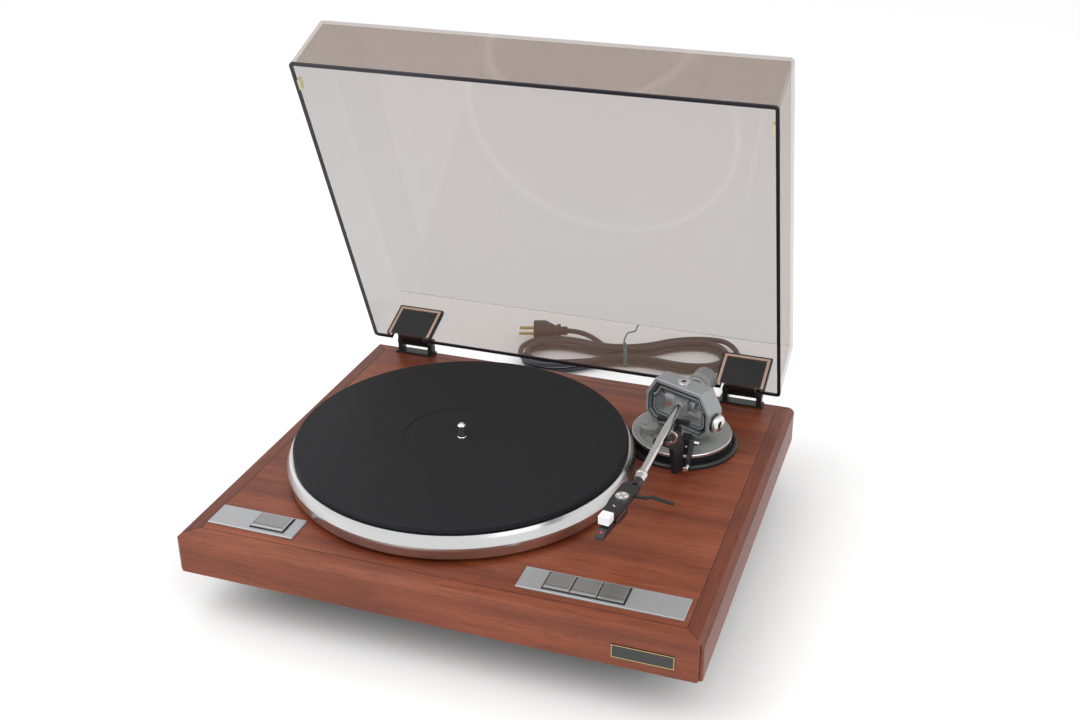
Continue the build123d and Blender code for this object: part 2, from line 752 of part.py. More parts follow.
# Counterweight on the stub
with BuildPart() as counterweight:
    with BuildSketch(stub_plane.offset(weight_from)):
        Circle(weight_r)
        Circle(stub_r + running, mode=Mode.SUBTRACT)
    extrude(amount=weight_l)
    chamfer(counterweight.edges().filter_by(GeomType.CIRCLE).sort_by(SortBy.RADIUS)[-2:], 1)
    for at in (7.0, 10.0):
        with BuildSketch(stub_plane.offset(weight_from + at)):
            Circle(weight_r)
            Circle(weight_r - 0.6, mode=Mode.SUBTRACT)
        extrude(amount=1.2, mode=Mode.SUBTRACT)
save(counterweight, "counterweight")

# Tracking force dial on the frame's side: black skirt, silver face, a slot for the pointer
dial_plane = Plane(origin=spot(arm_x, arm_y, 33.0), x_dir=(0, 0, 1), z_dir=axis_x).offset(frame_half_w)
with BuildPart() as force_dial:
    with BuildSketch(dial_plane.offset(seat_gap)):
        Circle(8.5)
    extrude(amount=2.6)
    with BuildSketch(dial_plane.offset(seat_gap + 2.6)):
        Circle(8.0)
        SlotCenterPoint((0, 0), (0, 3.2), 3, mode=Mode.SUBTRACT)
    extrude(amount=2.4)
    rim = force_dial.faces().sort_by(Axis(dial_plane.origin, dial_plane.z_dir))[-1].outer_wire()
    chamfer(rim.edges(), 0.6)
save(force_dial, "force_dial")

# Side-force dial on the disc, with a ribbed edge
with BuildPart() as anti_skate_dial:
    with BuildSketch(level(disc_top + seat_gap)):
        with Locations((dial_x, dial_y)):
            Circle(dial_r)
            with PolarLocations(dial_r, 24):
                RegularPolygon(0.7, 4, mode=Mode.SUBTRACT)
    extrude(amount=dial_h)
    fillet(anti_skate_dial.faces().sort_by(Axis.Z)[-1].outer_wire().edges(), 0.4)
save(anti_skate_dial, "anti_skate_dial")

# Arm rest: a bracket from the deck up to a hooked cradle under the tube, open towards the platter
rest_foot = (143.5, 38.5)
rest_run = math.hypot(rest_foot[0] - arm_x, rest_foot[1] - rest_y)
rest_dir = ((rest_foot[0] - arm_x) / rest_run, (rest_foot[1] - rest_y) / rest_run, 0)
rest_plane = Plane(origin=spot(arm_x, rest_y), x_dir=rest_dir, z_dir=(rest_dir[1], -rest_dir[0], 0))
cradle_plane = Plane(origin=spot(arm_x, rest_y), x_dir=(1, 0, 0), z_dir=(0, -1, 0))
cradle_r = tube_r + seat_gap
cradle_low = tube_z - cradle_r
cradle_half = 3.0
clip_pin_r, clip_off, clip_drop = 0.8, 6.0, 2.5
with BuildPart() as arm_rest:
    with BuildSketch(rest_plane):
        with BuildLine():
            Polyline(
                (rest_run - 7, 0),
                (rest_run - 2, 0),
                (rest_run - 2, base_h),
                (rest_run + 2.5, base_h),
                (rest_run + 2.5, 27),
                (rest_run - 2, cradle_low - 1),
                (0, cradle_low - 1),
                (0, cradle_low - 5),
                (rest_run - 12, 27),
                close=True,
            )
        make_face()
    extrude(amount=2.5, both=True)
    with BuildSketch(cradle_plane):
        with Locations((0, cradle_low + 1)):
            Rectangle(15, 8)
        with Locations((0, tube_z)):
            Circle(cradle_r, mode=Mode.SUBTRACT)
        with Locations((0, tube_z + 4)):
            Rectangle(2 * cradle_r, 8, mode=Mode.SUBTRACT)
        with Locations((-cradle_r, tube_z)):
            Rectangle(2 * cradle_r, 2 * cradle_r, mode=Mode.SUBTRACT)
    extrude(amount=cradle_half, both=True)
    with BuildSketch(cradle_plane.offset(cradle_half)):
        with Locations((clip_off, tube_z - clip_drop)):
            Circle(clip_pin_r)
    extrude(amount=2.6)
save(arm_rest, "arm_rest")

# Clip that turns on a pin at the cradle's side: drawn over the tube, then swung open
clip_plane = cradle_plane.offset(cradle_half + slide_gap)
clip_pin = Axis(clip_plane.from_local_coords(Vector(clip_off, tube_z - clip_drop, 0)), (0, 1, 0))
with BuildPart() as closed_clip:
    with BuildSketch(clip_plane):
        with Locations((0, tube_z)):
            Circle(tube_r + 2.2)
            Circle(tube_r + 0.8, mode=Mode.SUBTRACT)
        with Locations((0, tube_z - 5.5)):
            Rectangle(20, 10, mode=Mode.SUBTRACT)
        with Locations((clip_off, tube_z - clip_drop)):
            Circle(1.9)
        with Locations((clip_off - 0.9, tube_z - clip_drop / 2)):
            Rectangle(1.6, clip_drop)
        with Locations((clip_off, tube_z - clip_drop)):
            Circle(clip_pin_r + running, mode=Mode.SUBTRACT)
    extrude(amount=1.8)
with BuildPart() as rest_clip:
    add(closed_clip.part.rotate(clip_pin, clip_open))
save(rest_clip, "rest_clip")

# Arm lift: a fixed post, a sliding bar under the tube, and its lever on a cross pin
lift_post_r, lift_neck_r, lift_rod_r = 5.5, 3.6, 2.0
lift_top = tube_z - tube_r - 2 * seat_gap
lever_x, lever_y, lever_z = lift_x + 15, lift_y - 6, 24.0
with BuildPart() as lift_post:
    with BuildSketch(level(disc_top)):
        with Locations((lift_x, lift_y)):
            Circle(lift_post_r)
    extrude(amount=10)
    with BuildSketch(level(disc_top)):
        with Locations((lift_x, lift_y)):
            Circle(lift_neck_r)
    extrude(amount=lift_top - 3 - lift_drop - slide_gap - disc_top)
    with BuildSketch(level(disc_top)):
        with Locations((lift_x, lift_y)):
            Circle(lift_rod_r + running)
    extrude(amount=40, mode=Mode.SUBTRACT)
    with BuildSketch(level(disc_top)):
        with Locations((lift_x + 9, lift_y - 2.5)):
            Rectangle(8, 12)
    extrude(amount=lever_z + 3 - disc_top)
    with BuildSketch(level(disc_top)):
        with Locations((lift_x + 5, lift_y)):
            Rectangle(6, 5)
        with Locations((lift_x, lift_y)):
            Circle(lift_rod_r + running, mode=Mode.SUBTRACT)
    extrude(amount=8)
    with BuildSketch(Plane(origin=spot(lift_x + 13, lever_y, lever_z), x_dir=(0, 1, 0), z_dir=(1, 0, 0))):
        Circle(1.5)
    extrude(amount=7)
save(lift_post, "lift_post")
with BuildPart() as lift_bar:
    with BuildSketch(level(disc_top + lift_drop + seat_gap)):
        with Locations((lift_x, lift_y)):
            Circle(lift_rod_r)
    extrude(amount=lift_top - 3 - lift_drop - seat_gap - disc_top)
    with BuildSketch(level(lift_top - 3)):
        with Locations((lift_x - 4, lift_y)):
            SlotOverall(30, 4.5)
    extrude(amount=3)
save(lift_bar, "lift_bar")
with BuildPart() as cue_lever:
    with BuildSketch(Plane(origin=spot(lever_x - 1.7, lever_y, lever_z), x_dir=(0, 1, 0), z_dir=(1, 0, 0))):
        Circle(4)
        with BuildLine():
            Polyline((-3, 2.6), (3, -2.6), (-9, -14.5), (-17, -16), (-17, -13), (-11.5, -11.5), close=True)
        make_face()
        Circle(1.5 + running, mode=Mode.SUBTRACT)
    extrude(amount=3.4)
    lever_end = spot(lever_x, lever_y - 15, lever_z - 14.5)
    with BuildSketch(Plane(origin=lever_end, x_dir=(1, 0, 0), z_dir=(0, -1, 0))):
        Circle(2.2)
    extrude(amount=8)
save(cue_lever, "cue_lever")

# Lid: a thin-walled box open below, modelled closed and swung up about the hinge pins
lid_hinge = Axis(spot(0, hinge_y, hinge_up), (1, 0, 0))
notch_h = leaf_low - 1.0


def save_open(piece, name):
    """Swings a piece of the closed lid up, names it and writes it."""
    swung = piece.part.rotate(lid_hinge, -lid_open)
    swung.label = name
    export_step(swung, f"parts/{name}.step")


with BuildPart() as lid:
    with BuildSketch(level(lid_gap)):
        with Locations((0, lid_rear - lid_l / 2)):
            Rectangle(lid_w, lid_l)
    extrude(amount=lid_h)
    fillet(lid.edges().filter_by(Axis.Z), lid_round)
    fillet(lid.faces().sort_by(Axis.Z)[-1].edges(), lid_round)
    offset(amount=-lid_wall, openings=lid.faces().sort_by(Axis.Z)[0])
    with Locations([spot(side * hinge_x, lid_rear - lid_wall / 2, lid_gap) for side in (-1, 1)]):
        Box(leaf_w + 1, 2 * lid_wall, 2 * notch_h, mode=Mode.SUBTRACT)
save_open(lid, "lid")

# Hinges: a plate with two cheeks on the deck, a pin, and a leaf that slips into a pocket in the lid
cheek_w = 5.0
pocket_deep = leaf_t + 0.4
leaf_face = -hinge_behind - lid_wall
hinge_mids = [side * hinge_x for side in (-1, 1)]
end_planes = [Plane(origin=spot(x, hinge_y, 0), x_dir=(0, 1, 0), z_dir=(1, 0, 0)) for x in hinge_mids]
with BuildPart() as hinge_bases:
    for x_mid, end_plane in zip(hinge_mids, end_planes):
        with Locations(spot(x_mid, hinge_y - 1, hinge_plate_t / 2)):
            Box(hinge_plate_w, hinge_plate_d, hinge_plate_t)
        for cheek in (-1, 1):
            with BuildSketch(end_plane.offset(cheek * (barrel_w / 2 + seat_gap))):
                with Locations((0, hinge_up)):
                    Circle(barrel_r)
                with Locations((0, hinge_up / 2)):
                    Rectangle(2 * barrel_r - 2, hinge_up)
                with Locations((0, hinge_up)):
                    Circle(pin_r, mode=Mode.SUBTRACT)
            extrude(amount=cheek * cheek_w)
save(hinge_bases, "hinge_bases")
with BuildPart() as hinge_pins:
    for end_plane in end_planes:
        with BuildSketch(end_plane):
            with Locations((0, hinge_up)):
                Circle(pin_r)
        extrude(amount=barrel_w / 2 + seat_gap + cheek_w, both=True)
        for cheek in (-1, 1):
            with BuildSketch(end_plane.offset(cheek * (barrel_w / 2 + seat_gap + cheek_w))):
                with Locations((0, hinge_up)):
                    Circle(pin_r + 1)
            extrude(amount=cheek * 1.0)
save(hinge_pins, "hinge_pins")
with BuildPart() as hinge_leaves:
    for x_mid, end_plane in zip(hinge_mids, end_planes):
        with BuildSketch(end_plane):
            with Locations((0, hinge_up)):
                Circle(barrel_r)
            with BuildLine():
                Polyline(
                    (leaf_face - seat_gap - leaf_t, leaf_low + 2),
                    (leaf_face - seat_gap - leaf_t, hinge_up - 9),
                    (-hinge_behind, hinge_up - 9.5),
                    (-1, hinge_up - 4.8),
                    (-3, hinge_up + 1),
                    (-hinge_behind + 2, hinge_up - 4.5),
                    (leaf_face - seat_gap, hinge_up - 4.5),
                    (leaf_face - seat_gap, leaf_low + 2),
                    close=True,
                )
            make_face()
        extrude(amount=barrel_w / 2, both=True)
        with Locations(spot(x_mid, hinge_y + leaf_face - seat_gap - leaf_t / 2, (leaf_low + leaf_high) / 2)):
            Box(leaf_w, leaf_t, leaf_high - leaf_low)
        with BuildSketch(end_plane):
            with Locations((0, hinge_up)):
                Circle(pin_r + running)
        extrude(amount=barrel_w, both=True, mode=Mode.SUBTRACT)
save_open(hinge_leaves, "hinge_leaves")
with BuildPart() as lid_pockets:
    for x_mid in hinge_mids:
        with BuildSketch(level(lid_gap + 0.4)):
            with Locations((x_mid, lid_rear - lid_wall - (pocket_deep + pocket_t) / 2)):
                Rectangle(pocket_w, pocket_deep + pocket_t)
        extrude(amount=pocket_h)
        with BuildSketch(level(lid_gap)):
            with Locations((x_mid, lid_rear - lid_wall - pocket_deep / 2)):
                Rectangle(leaf_w + 2 * slide_gap, pocket_deep)
        extrude(amount=leaf_high + 1, mode=Mode.SUBTRACT)
save_open(lid_pockets, "lid_pockets")

# Rubber bumpers inside the lid's side walls, just below its rim
bumper_y = lid_rear - lid_l + 23
bumper_t = 2.4
bumper_x = (lid_w - 2 * lid_wall - bumper_t) / 2
with BuildPart() as lid_bumpers:
    with Locations([spot(side * bumper_x, bumper_y, lid_gap + 2.5) for side in (-1, 1)]):
        Box(bumper_t, 10, 5)
save_open(lid_bumpers, "lid_bumpers")

# Strain reliefs in the tray's rear wall: a flange outside and a tapered nose for the lead
mains_nose, earth_nose, nose_taper = 22.0, 12.0, 3.6
reliefs = [(gland_x, gland_z, lead_r, mains_nose), (earth_x, earth_z, earth_r, earth_nose)]
with BuildPart() as cord_glands:
    for x, z, wire_r, nose_out in reliefs:
        sleeve_r = wire_r + gland_wall
        gland_plane = Plane(origin=spot(x, tray_d / 2, z), x_dir=(-1, 0, 0), z_dir=(0, 1, 0))
        with BuildSketch(gland_plane.offset(-tray_wall - 3)):
            Circle(sleeve_r)
        extrude(amount=tray_wall + 3)
        with BuildSketch(gland_plane):
            Circle(sleeve_r)
        extrude(amount=nose_out, taper=nose_taper)
        with BuildSketch(gland_plane):
            Circle(sleeve_r + 3)
        extrude(amount=2)
save(cord_glands, "cord_glands")


def lead(points, wire_r, name):
    """A cord laid by hand along points: straight runs and arcs as large as the runs allow."""
    route = [Vector(*p) for p in points]
    radii = []
    for a, b, c in zip(route, route[1:], route[2:]):
        half_turn = math.radians((b - a).get_angle(c - b)) / 2
        radii.append(0.45 * min((b - a).length, (c - b).length) / math.tan(half_turn))
    with BuildPart() as cord:
        with BuildLine() as path:
            FilletPolyline(*route, radius=radii)
        wire = path.wires()[0]
        with BuildSketch(Plane(origin=wire @ 0, z_dir=wire % 0)):
            Circle(wire_r)
        sweep(path=wire)
    length = wire.length
    share = cord.part.volume / (math.pi * wire_r**2 * length)
    print(name, "length", round(length, 1), "volume share", round(share, 4))
    print(name, "radii", [round(r) for r in radii])
    save(cord, name)
    return length


# The tied hank: seven runs through a narrow waist in two layers, with half circles at the ends
tilt = math.radians(hank_turn)
waist_out = 15.6
waists = [waist_out - hank_step * i for i in range(4)]
waists += waists[-2::-1]
plug_v, plug_u, plug_axis = 55.0, -66.0, 12.7


def hank_spot(u, v, z):
    """A point of the hank: along it, across it, and above the floor."""
    return Vector(
        hank_x + u * math.cos(tilt) - v * math.sin(tilt),
        plinth_y + hank_y + u * math.sin(tilt) + v * math.cos(tilt),
        z,
    )


along = hank_spot(1, 0, 0) - hank_spot(0, 0, 0)
with BuildPart() as mains_hank:
    with BuildLine() as winding:
        last = hank_spot(plug_u + 2 * lead_r, plug_v, plug_axis)
        Line(hank_spot(plug_u, plug_v, plug_axis), last)
        for i, waist in enumerate(waists):
            side = 1 if i % 2 == 0 else -1
            heights = [hank_low + hank_layer * (i + k > 3) for k in (0, 1)]
            stops = [hank_spot(0, side * waist, heights[0])]
            stops.append(hank_spot(side * hank_half, side * (waist + lobe_out), heights[1]))
            for stop in stops:
                half_way = (last + stop) / 2
                first = TangentArc(last, half_way, tangent=along * side)
                TangentArc(half_way, stop, tangent=first % 1)
                last = stop
            if i + 1 < len(waists):
                bend = (waist + waists[i + 1]) / 2 + lobe_out
                middle_v = side * (waist - waists[i + 1]) / 2
                far = hank_spot(side * (hank_half + bend), middle_v, heights[1])
                stop = hank_spot(side * hank_half, -side * (waists[i + 1] + lobe_out), heights[1])
                ThreePointArc(last, far, stop)
                last = stop
        hank_end = last + along * 2 * lead_r
        Line(last, hank_end)
    hank_path = winding.wires()[0]
    with BuildSketch(Plane(origin=hank_path @ 0, z_dir=hank_path % 0)):
        Circle(lead_r)
    sweep(path=hank_path)
hank_length = hank_path.length
marks = [hank_path @ (i / 900) for i in range(901)]
apart = int(900 * 6 * lead_r / hank_length) + 1
least = min((marks[i] - marks[j]).length for i in range(901) for j in range(i + apart, 901))
print("hank length", round(hank_length, 1), "least gap to itself", round(least - 2 * lead_r, 2))
print("hank volume share", round(mains_hank.part.volume / (math.pi * lead_r**2 * hank_length), 4))
save(mains_hank, "mains_hank")

# The lead's free stretch, from the hank's end round to its strain relief
gland_mouth = spot(gland_x, tray_d / 2 + mains_nose, gland_z)
lead_points = [
    tuple(hank_end),
    tuple(hank_end + along * 18),
    (108, plinth_y + 441, 9.5),
    (120, plinth_y + 424, 6.0),
    (125, plinth_y + 399, 3.8),
    (125.5, plinth_y + 366, 3.2),
    (124, plinth_y + 330, 3.2),
    (121, plinth_y + 294, 3.6),
    (119, plinth_y + 259, 7.0),
    (118, plinth_y + 228, 17.0),
    (gland_x, plinth_y + tray_d / 2 + mains_nose + 24, deck_z + gland_z),
    gland_mouth,
]
mains_length = lead(lead_points, lead_r, "mains_lead")
print("whole mains lead", round(hank_length + mains_length, 1))

# Earth lead, from its grommet to a spade terminal on the floor beside the hank
earth_mouth = spot(earth_x, tray_d / 2 + earth_nose, earth_z)
earth_points = [
    earth_mouth,
    (earth_x, plinth_y + tray_d / 2 + earth_nose + 14, deck_z + earth_z),
    (41, plinth_y + 204, 19.0),
    (44, plinth_y + 222, 9.5),
    (48, plinth_y + 240, 3.6),
    (53, plinth_y + 258, 1.7),
    (57.5, plinth_y + 276, 1.5),
    (61, plinth_y + 294, 1.5),
    (63, plinth_y + 312, 1.5),
    (62.5, plinth_y + 330, 1.5),
]
lead(earth_points, earth_r, "earth_lead")
spade_dir = Vector(*earth_points[-1]) - Vector(*earth_points[-2])
spade_turn = math.degrees(math.atan2(spade_dir.Y, spade_dir.X))
with BuildPart() as earth_spade:
    with BuildSketch(Plane(origin=earth_points[-1], x_dir=(0, 0, 1), z_dir=spade_dir)):
        Circle(earth_r + 0.2)
    extrude(amount=6)
    with BuildSketch(Plane(origin=earth_points[-1]).rotated((0, 0, spade_turn)).offset(-0.4)):
        with Locations((9, 0)):
            Rectangle(9, 6)
        with Locations((11.5, 0)):
            Rectangle(6, 3, mode=Mode.SUBTRACT)
    extrude(amount=0.8)
save(earth_spade, "earth_spade")

# Wire tie round the hank's waist, with one loose end
band_t, band_w = 1.0, 4.0
band_low, band_high = hank_low - lead_r - 0.4, hank_low + hank_layer + lead_r + 0.4
band_v = (waists[0] - waists[1]) / 2
band_half = (waists[0] + waists[1]) / 2 + lead_r + 0.4
band_plane = Plane(origin=hank_spot(0, band_v, 0), x_dir=hank_spot(0, 1, 0) - hank_spot(0, 0, 0), z_dir=along)
with BuildPart() as hank_tie:
    with BuildSketch(band_plane):
        with Locations((0, (band_low + band_high) / 2)):
            RectangleRounded(2 * (band_half + band_t), band_high - band_low + 2 * band_t, 4)
            RectangleRounded(2 * band_half, band_high - band_low, 3, mode=Mode.SUBTRACT)
    extrude(amount=band_w / 2, both=True)
    with BuildLine() as tail:
        FilletPolyline(
            hank_spot(0, 4, band_high + band_t / 2),
            hank_spot(-1, 7, band_high + 9),
            hank_spot(3, 14, band_high + 15),
            hank_spot(12, 18, band_high + 15),
            hank_spot(16, 24, band_high + 22),
            radius=3,
        )
    tail_wire = tail.wires()[0]
    with BuildSketch(Plane(origin=tail_wire @ 0, z_dir=tail_wire % 0)):
        Circle(0.8)
    sweep(path=tail_wire)
save(hank_tie, "hank_tie")

# Mains plug on the floor: a waisted body with a ribbed tail, and two round pins
plug_plane = Plane(origin=hank_spot(plug_u, plug_v, plug_axis), x_dir=(0, 0, 1), z_dir=-along)
plug_profile = Plane(origin=hank_spot(plug_u, plug_v, plug_axis), x_dir=-along, z_dir=(0, 0, 1))
plug_face_r = plug_axis - 0.2
with BuildPart() as plug_body:
    with BuildSketch(plug_profile):
        with BuildLine():
            Polyline(
                (0, 0),
                (0, lead_r + 1.4),
                (8, lead_r + 2),
                (8, lead_r + 5),
                (11, lead_r + 5.5),
                (14, lead_r + 3.5),
                (20, plug_face_r - 3),
                (26, plug_face_r),
                (plug_l - 1, plug_face_r),
                (plug_l, plug_face_r - 1),
                (plug_l, 0),
                close=True,
            )
        make_face()
    revolve(axis=Axis(hank_spot(plug_u, plug_v, plug_axis), -along))
save(plug_body, "plug_body")
pin_pitch, plug_pin_r, pin_l = 15.0, 2.0, 17.0
with BuildPart() as plug_pins:
    with BuildSketch(plug_plane.offset(plug_l)):
        with GridLocations(0, pin_pitch, 1, 2):
            Circle(plug_pin_r)
    extrude(amount=pin_l)
    fillet(plug_pins.edges().filter_by(GeomType.CIRCLE).group_by(Axis.X)[0], 0.8)
save(plug_pins, "plug_pins")
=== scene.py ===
# Belt-drive record player: materials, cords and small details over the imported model. Metres, +Z up.
import math
import random

import bpy
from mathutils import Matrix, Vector


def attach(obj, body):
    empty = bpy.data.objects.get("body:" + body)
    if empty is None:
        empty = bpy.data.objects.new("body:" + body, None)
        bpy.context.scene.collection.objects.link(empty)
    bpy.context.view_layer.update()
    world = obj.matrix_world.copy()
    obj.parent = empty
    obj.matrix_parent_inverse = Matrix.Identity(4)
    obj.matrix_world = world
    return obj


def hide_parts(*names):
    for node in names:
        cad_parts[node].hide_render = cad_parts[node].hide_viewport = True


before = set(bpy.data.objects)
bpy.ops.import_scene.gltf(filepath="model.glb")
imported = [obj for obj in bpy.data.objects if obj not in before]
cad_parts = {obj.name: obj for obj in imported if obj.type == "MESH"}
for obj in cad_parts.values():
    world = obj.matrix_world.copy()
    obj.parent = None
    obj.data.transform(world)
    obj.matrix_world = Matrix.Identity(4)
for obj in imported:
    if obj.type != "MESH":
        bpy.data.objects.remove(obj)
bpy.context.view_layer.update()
scene = bpy.context.scene
MM = 0.001
PLINTH_Y = -16.362
DECK_Z = 78.0
ARM = (133.5, 88.5)
PIVOT_Z, TUBE_Z = 42.0, 45.0
DISC_TOP = 12.3
PLINTH_W, PLINTH_D, RAIL_W = 440.0, 380.0, 16.0
PLATTER = (-39.6, -12.6)
LID_OPEN = math.radians(68)
HINGE = (180.0, 12.5)
GLAND_Z = 28.0


def spot(x, y, z=0.0):
    """A point in millimetres from the plinth's centre and the deck's top, as metres in the row frame."""
    return Vector((x * MM, (PLINTH_Y + y) * MM, (DECK_Z + z) * MM))


def opened(x, y, z):
    """The same for a point of the closed lid, swung up with it."""
    dy, dz = y - HINGE[0], z - HINGE[1]
    c, s = math.cos(LID_OPEN), math.sin(LID_OPEN)
    return spot(x, HINGE[0] + dy * c + dz * s, HINGE[1] - dy * s + dz * c)


# Camera at the photograph's place
cam_data = bpy.data.cameras.new("camera")
cam_data.lens, cam_data.sensor_width = 44.96, 36
cam_data.shift_x, cam_data.shift_y = -0.0168, -0.0169
cam_data.clip_start, cam_data.clip_end = 0.05, 50
camera = bpy.data.objects.new("camera", cam_data)
camera.location = (0.37144, -0.97396, 0.69511)
camera.rotation_euler = (math.pi / 2 - 0.4504, 0, 0.3285)
scene.collection.objects.link(camera)
scene.camera = camera
scene.view_settings.view_transform = "Standard"


# Materials
def material(name, color, rough=0.5, metal=0.0, coat=0.0, alpha=1.0, specular=0.5):
    """A plain principled material."""
    m = bpy.data.materials.new(name)
    m.use_nodes = True
    p = m.node_tree.nodes["Principled BSDF"]
    p.inputs["Base Color"].default_value = (*color, 1)
    p.inputs["Roughness"].default_value = rough
    p.inputs["Metallic"].default_value = metal
    p.inputs["Coat Weight"].default_value = coat
    p.inputs["Coat Roughness"].default_value = 0.12
    p.inputs["Alpha"].default_value = alpha
    p.inputs["Specular IOR Level"].default_value = specular
    return m


def node(m, kind, **values):
    """A new node of a material, with its settings and unlinked inputs."""
    n = m.node_tree.nodes.new(kind)
    for key, value in values.items():
        if key in n.inputs:
            n.inputs[key].default_value = value
        else:
            setattr(n, key, value)
    return n


def link(m, a, b):
    m.node_tree.links.new(a, b)


def noise(m, scale, size, detail=4.0, rough=0.6):
    """Noise over the object's own coordinates, stretched by three scales."""
    coord = node(m, "ShaderNodeTexCoord")
    mapping = node(m, "ShaderNodeMapping")
    mapping.inputs["Scale"].default_value = scale
    link(m, coord.outputs["Object"], mapping.inputs["Vector"])
    n = node(m, "ShaderNodeTexNoise", Scale=size, Detail=detail, Roughness=rough)
    link(m, mapping.outputs["Vector"], n.inputs["Vector"])
    return n.outputs["Fac"]


def ramp(m, fac, stops):
    """A colour ramp over fac: (place, colour) pairs."""
    r = node(m, "ShaderNodeValToRGB")
    while len(r.color_ramp.elements) < len(stops):
        r.color_ramp.elements.new(0.5)
    for e, (place, color) in zip(r.color_ramp.elements, stops):
        e.position = place
        e.color = (*color, 1)
    link(m, fac, r.inputs["Fac"])
    return r.outputs["Color"]


def mixed(m, fac, a, b, blend="MIX"):
    """Two colours mixed; each is a socket or a colour."""
    x = node(m, "ShaderNodeMix", data_type="RGBA", blend_type=blend)
    for value, socket in ((fac, x.inputs[0]), (a, x.inputs[6]), (b, x.inputs[7])):
        if isinstance(value, bpy.types.NodeSocket):
            link(m, value, socket)
        elif isinstance(value, (int, float)):
            socket.default_value = value
        else:
            socket.default_value = (*value, 1)
    return x.outputs[2]


def bump(m, height, strength, distance):
    b = node(m, "ShaderNodeBump", Strength=strength, Distance=distance)
    link(m, height, b.inputs["Height"])
    link(m, b.outputs["Normal"], m.node_tree.nodes["Principled BSDF"].inputs["Normal"])


def wood(name, along, dark, mid, light):
    """Varnished wood with its grain along one axis."""
    m = material(name, mid, 0.44, coat=0.12, specular=0.32)
    broad = [38.0, 38.0, 38.0]
    fine = [760.0, 760.0, 760.0]
    broad[along], fine[along] = 2.6, 34.0
    tone = ramp(m, noise(m, broad, 1.0, 3.0), [(0.3, dark), (0.5, mid), (0.72, light)])
    pores = ramp(m, noise(m, fine, 1.0, 3.0, 0.75), [(0.34, (0.5, 0.46, 0.45)), (0.5, (1, 1, 1))])
    cloud = ramp(m, noise(m, [9.0, 9.0, 9.0], 1.0, 2.0), [(0.3, (0.82, 0.8, 0.8)), (0.7, (1.1, 1.1, 1.1))])
    color = mixed(m, 0.75, tone, pores, "MULTIPLY")
    color = mixed(m, 1.0, color, cloud, "MULTIPLY")
    link(m, color, m.node_tree.nodes["Principled BSDF"].inputs["Base Color"])
    bump(m, noise(m, fine, 1.0, 2.0), 0.12, 0.0004)
    return m


def distance_from(m, centre, plane=(1, 1, 0)):
    """Distance of the shaded point from a centre, counted along some axes only."""
    coord = node(m, "ShaderNodeTexCoord")
    away = node(m, "ShaderNodeVectorMath", operation="SUBTRACT")
    away.inputs[1].default_value = centre
    link(m, coord.outputs["Object"], away.inputs[0])
    flat = node(m, "ShaderNodeVectorMath", operation="MULTIPLY")
    flat.inputs[1].default_value = plane
    link(m, away.outputs[0], flat.inputs[0])
    length = node(m, "ShaderNodeVectorMath", operation="LENGTH")
    link(m, flat.outputs[0], length.inputs[0])
    return length.outputs["Value"]


def rings(m, centre, pitch):
    """A fine noise that changes only with the distance from an upright axis."""
    far = distance_from(m, centre)
    scaled = node(m, "ShaderNodeMath", operation="DIVIDE")
    scaled.inputs[1].default_value = pitch
    link(m, far, scaled.inputs[0])
    n = node(m, "ShaderNodeTexNoise", noise_dimensions="1D", Scale=1.0, Detail=2.0)
    link(m, scaled.outputs[0], n.inputs["W"])
    return n.outputs["Fac"]


mahogany = wood("mahogany", 0, (0.135, 0.028, 0.010), (0.215, 0.050, 0.019), (0.29, 0.076, 0.029))
mahogany_side = wood("mahogany_side", 1, (0.095, 0.020, 0.009), (0.155, 0.036, 0.015), (0.21, 0.055, 0.023))
seam = material("seam", (0.035, 0.009, 0.005), 0.7)
black = material("black_plastic", (0.012, 0.012, 0.013), 0.42)
black_gloss = material("black_gloss", (0.008, 0.008, 0.009), 0.12, coat=0.5)
# Near-black matte laid flat over gaps, grooves, slots and sockets: painted shade inside them
gap_shade = material("gap_shade", (0.004, 0.004, 0.004), 0.9)
gimbal_grey = material("gimbal_grey", (0.30, 0.315, 0.32), 0.4, metal=0.25, coat=0.08)
disc_grey = material("disc_grey", (0.31, 0.32, 0.31), 0.42, metal=0.25)
bright = material("bright_metal", (0.78, 0.77, 0.76), 0.16, metal=1.0)
tube_metal = material("tube_metal", (0.72, 0.71, 0.70), 0.17, metal=1.0)
white = material("white", (0.85, 0.85, 0.85), 0.4)
red = material("red", (0.55, 0.012, 0.015), 0.35)
brass = material("brass", (0.66, 0.50, 0.24), 0.28, metal=1.0)
cord_grey = material("cord_grey", (0.03, 0.032, 0.045), 0.42)
teal = material("teal_tie", (0.02, 0.17, 0.19), 0.4)
pale_rubber = material("pale_rubber", (0.62, 0.55, 0.34), 0.6)
clear = material("clear_plastic", (0.34, 0.22, 0.16), 0.12, alpha=0.16)
tan = material("pocket_tan", (0.50, 0.34, 0.26), 0.35)
weight_grey = material("weight_grey", (0.26, 0.27, 0.28), 0.34, metal=0.5)
steel = material("steel", (0.5, 0.5, 0.5), 0.3, metal=1.0)
button_grey = material("button_grey", (0.30, 0.30, 0.30), 0.34, metal=0.75)
board_green = material("board_green", (0.03, 0.14, 0.06), 0.4)

plate_metal = material("plate_metal", (0.42, 0.425, 0.435), 0.36, metal=0.6)
bump(plate_metal, noise(plate_metal, [30.0, 1600.0, 1600.0], 1.0, 2.0), 0.05, 0.0002)

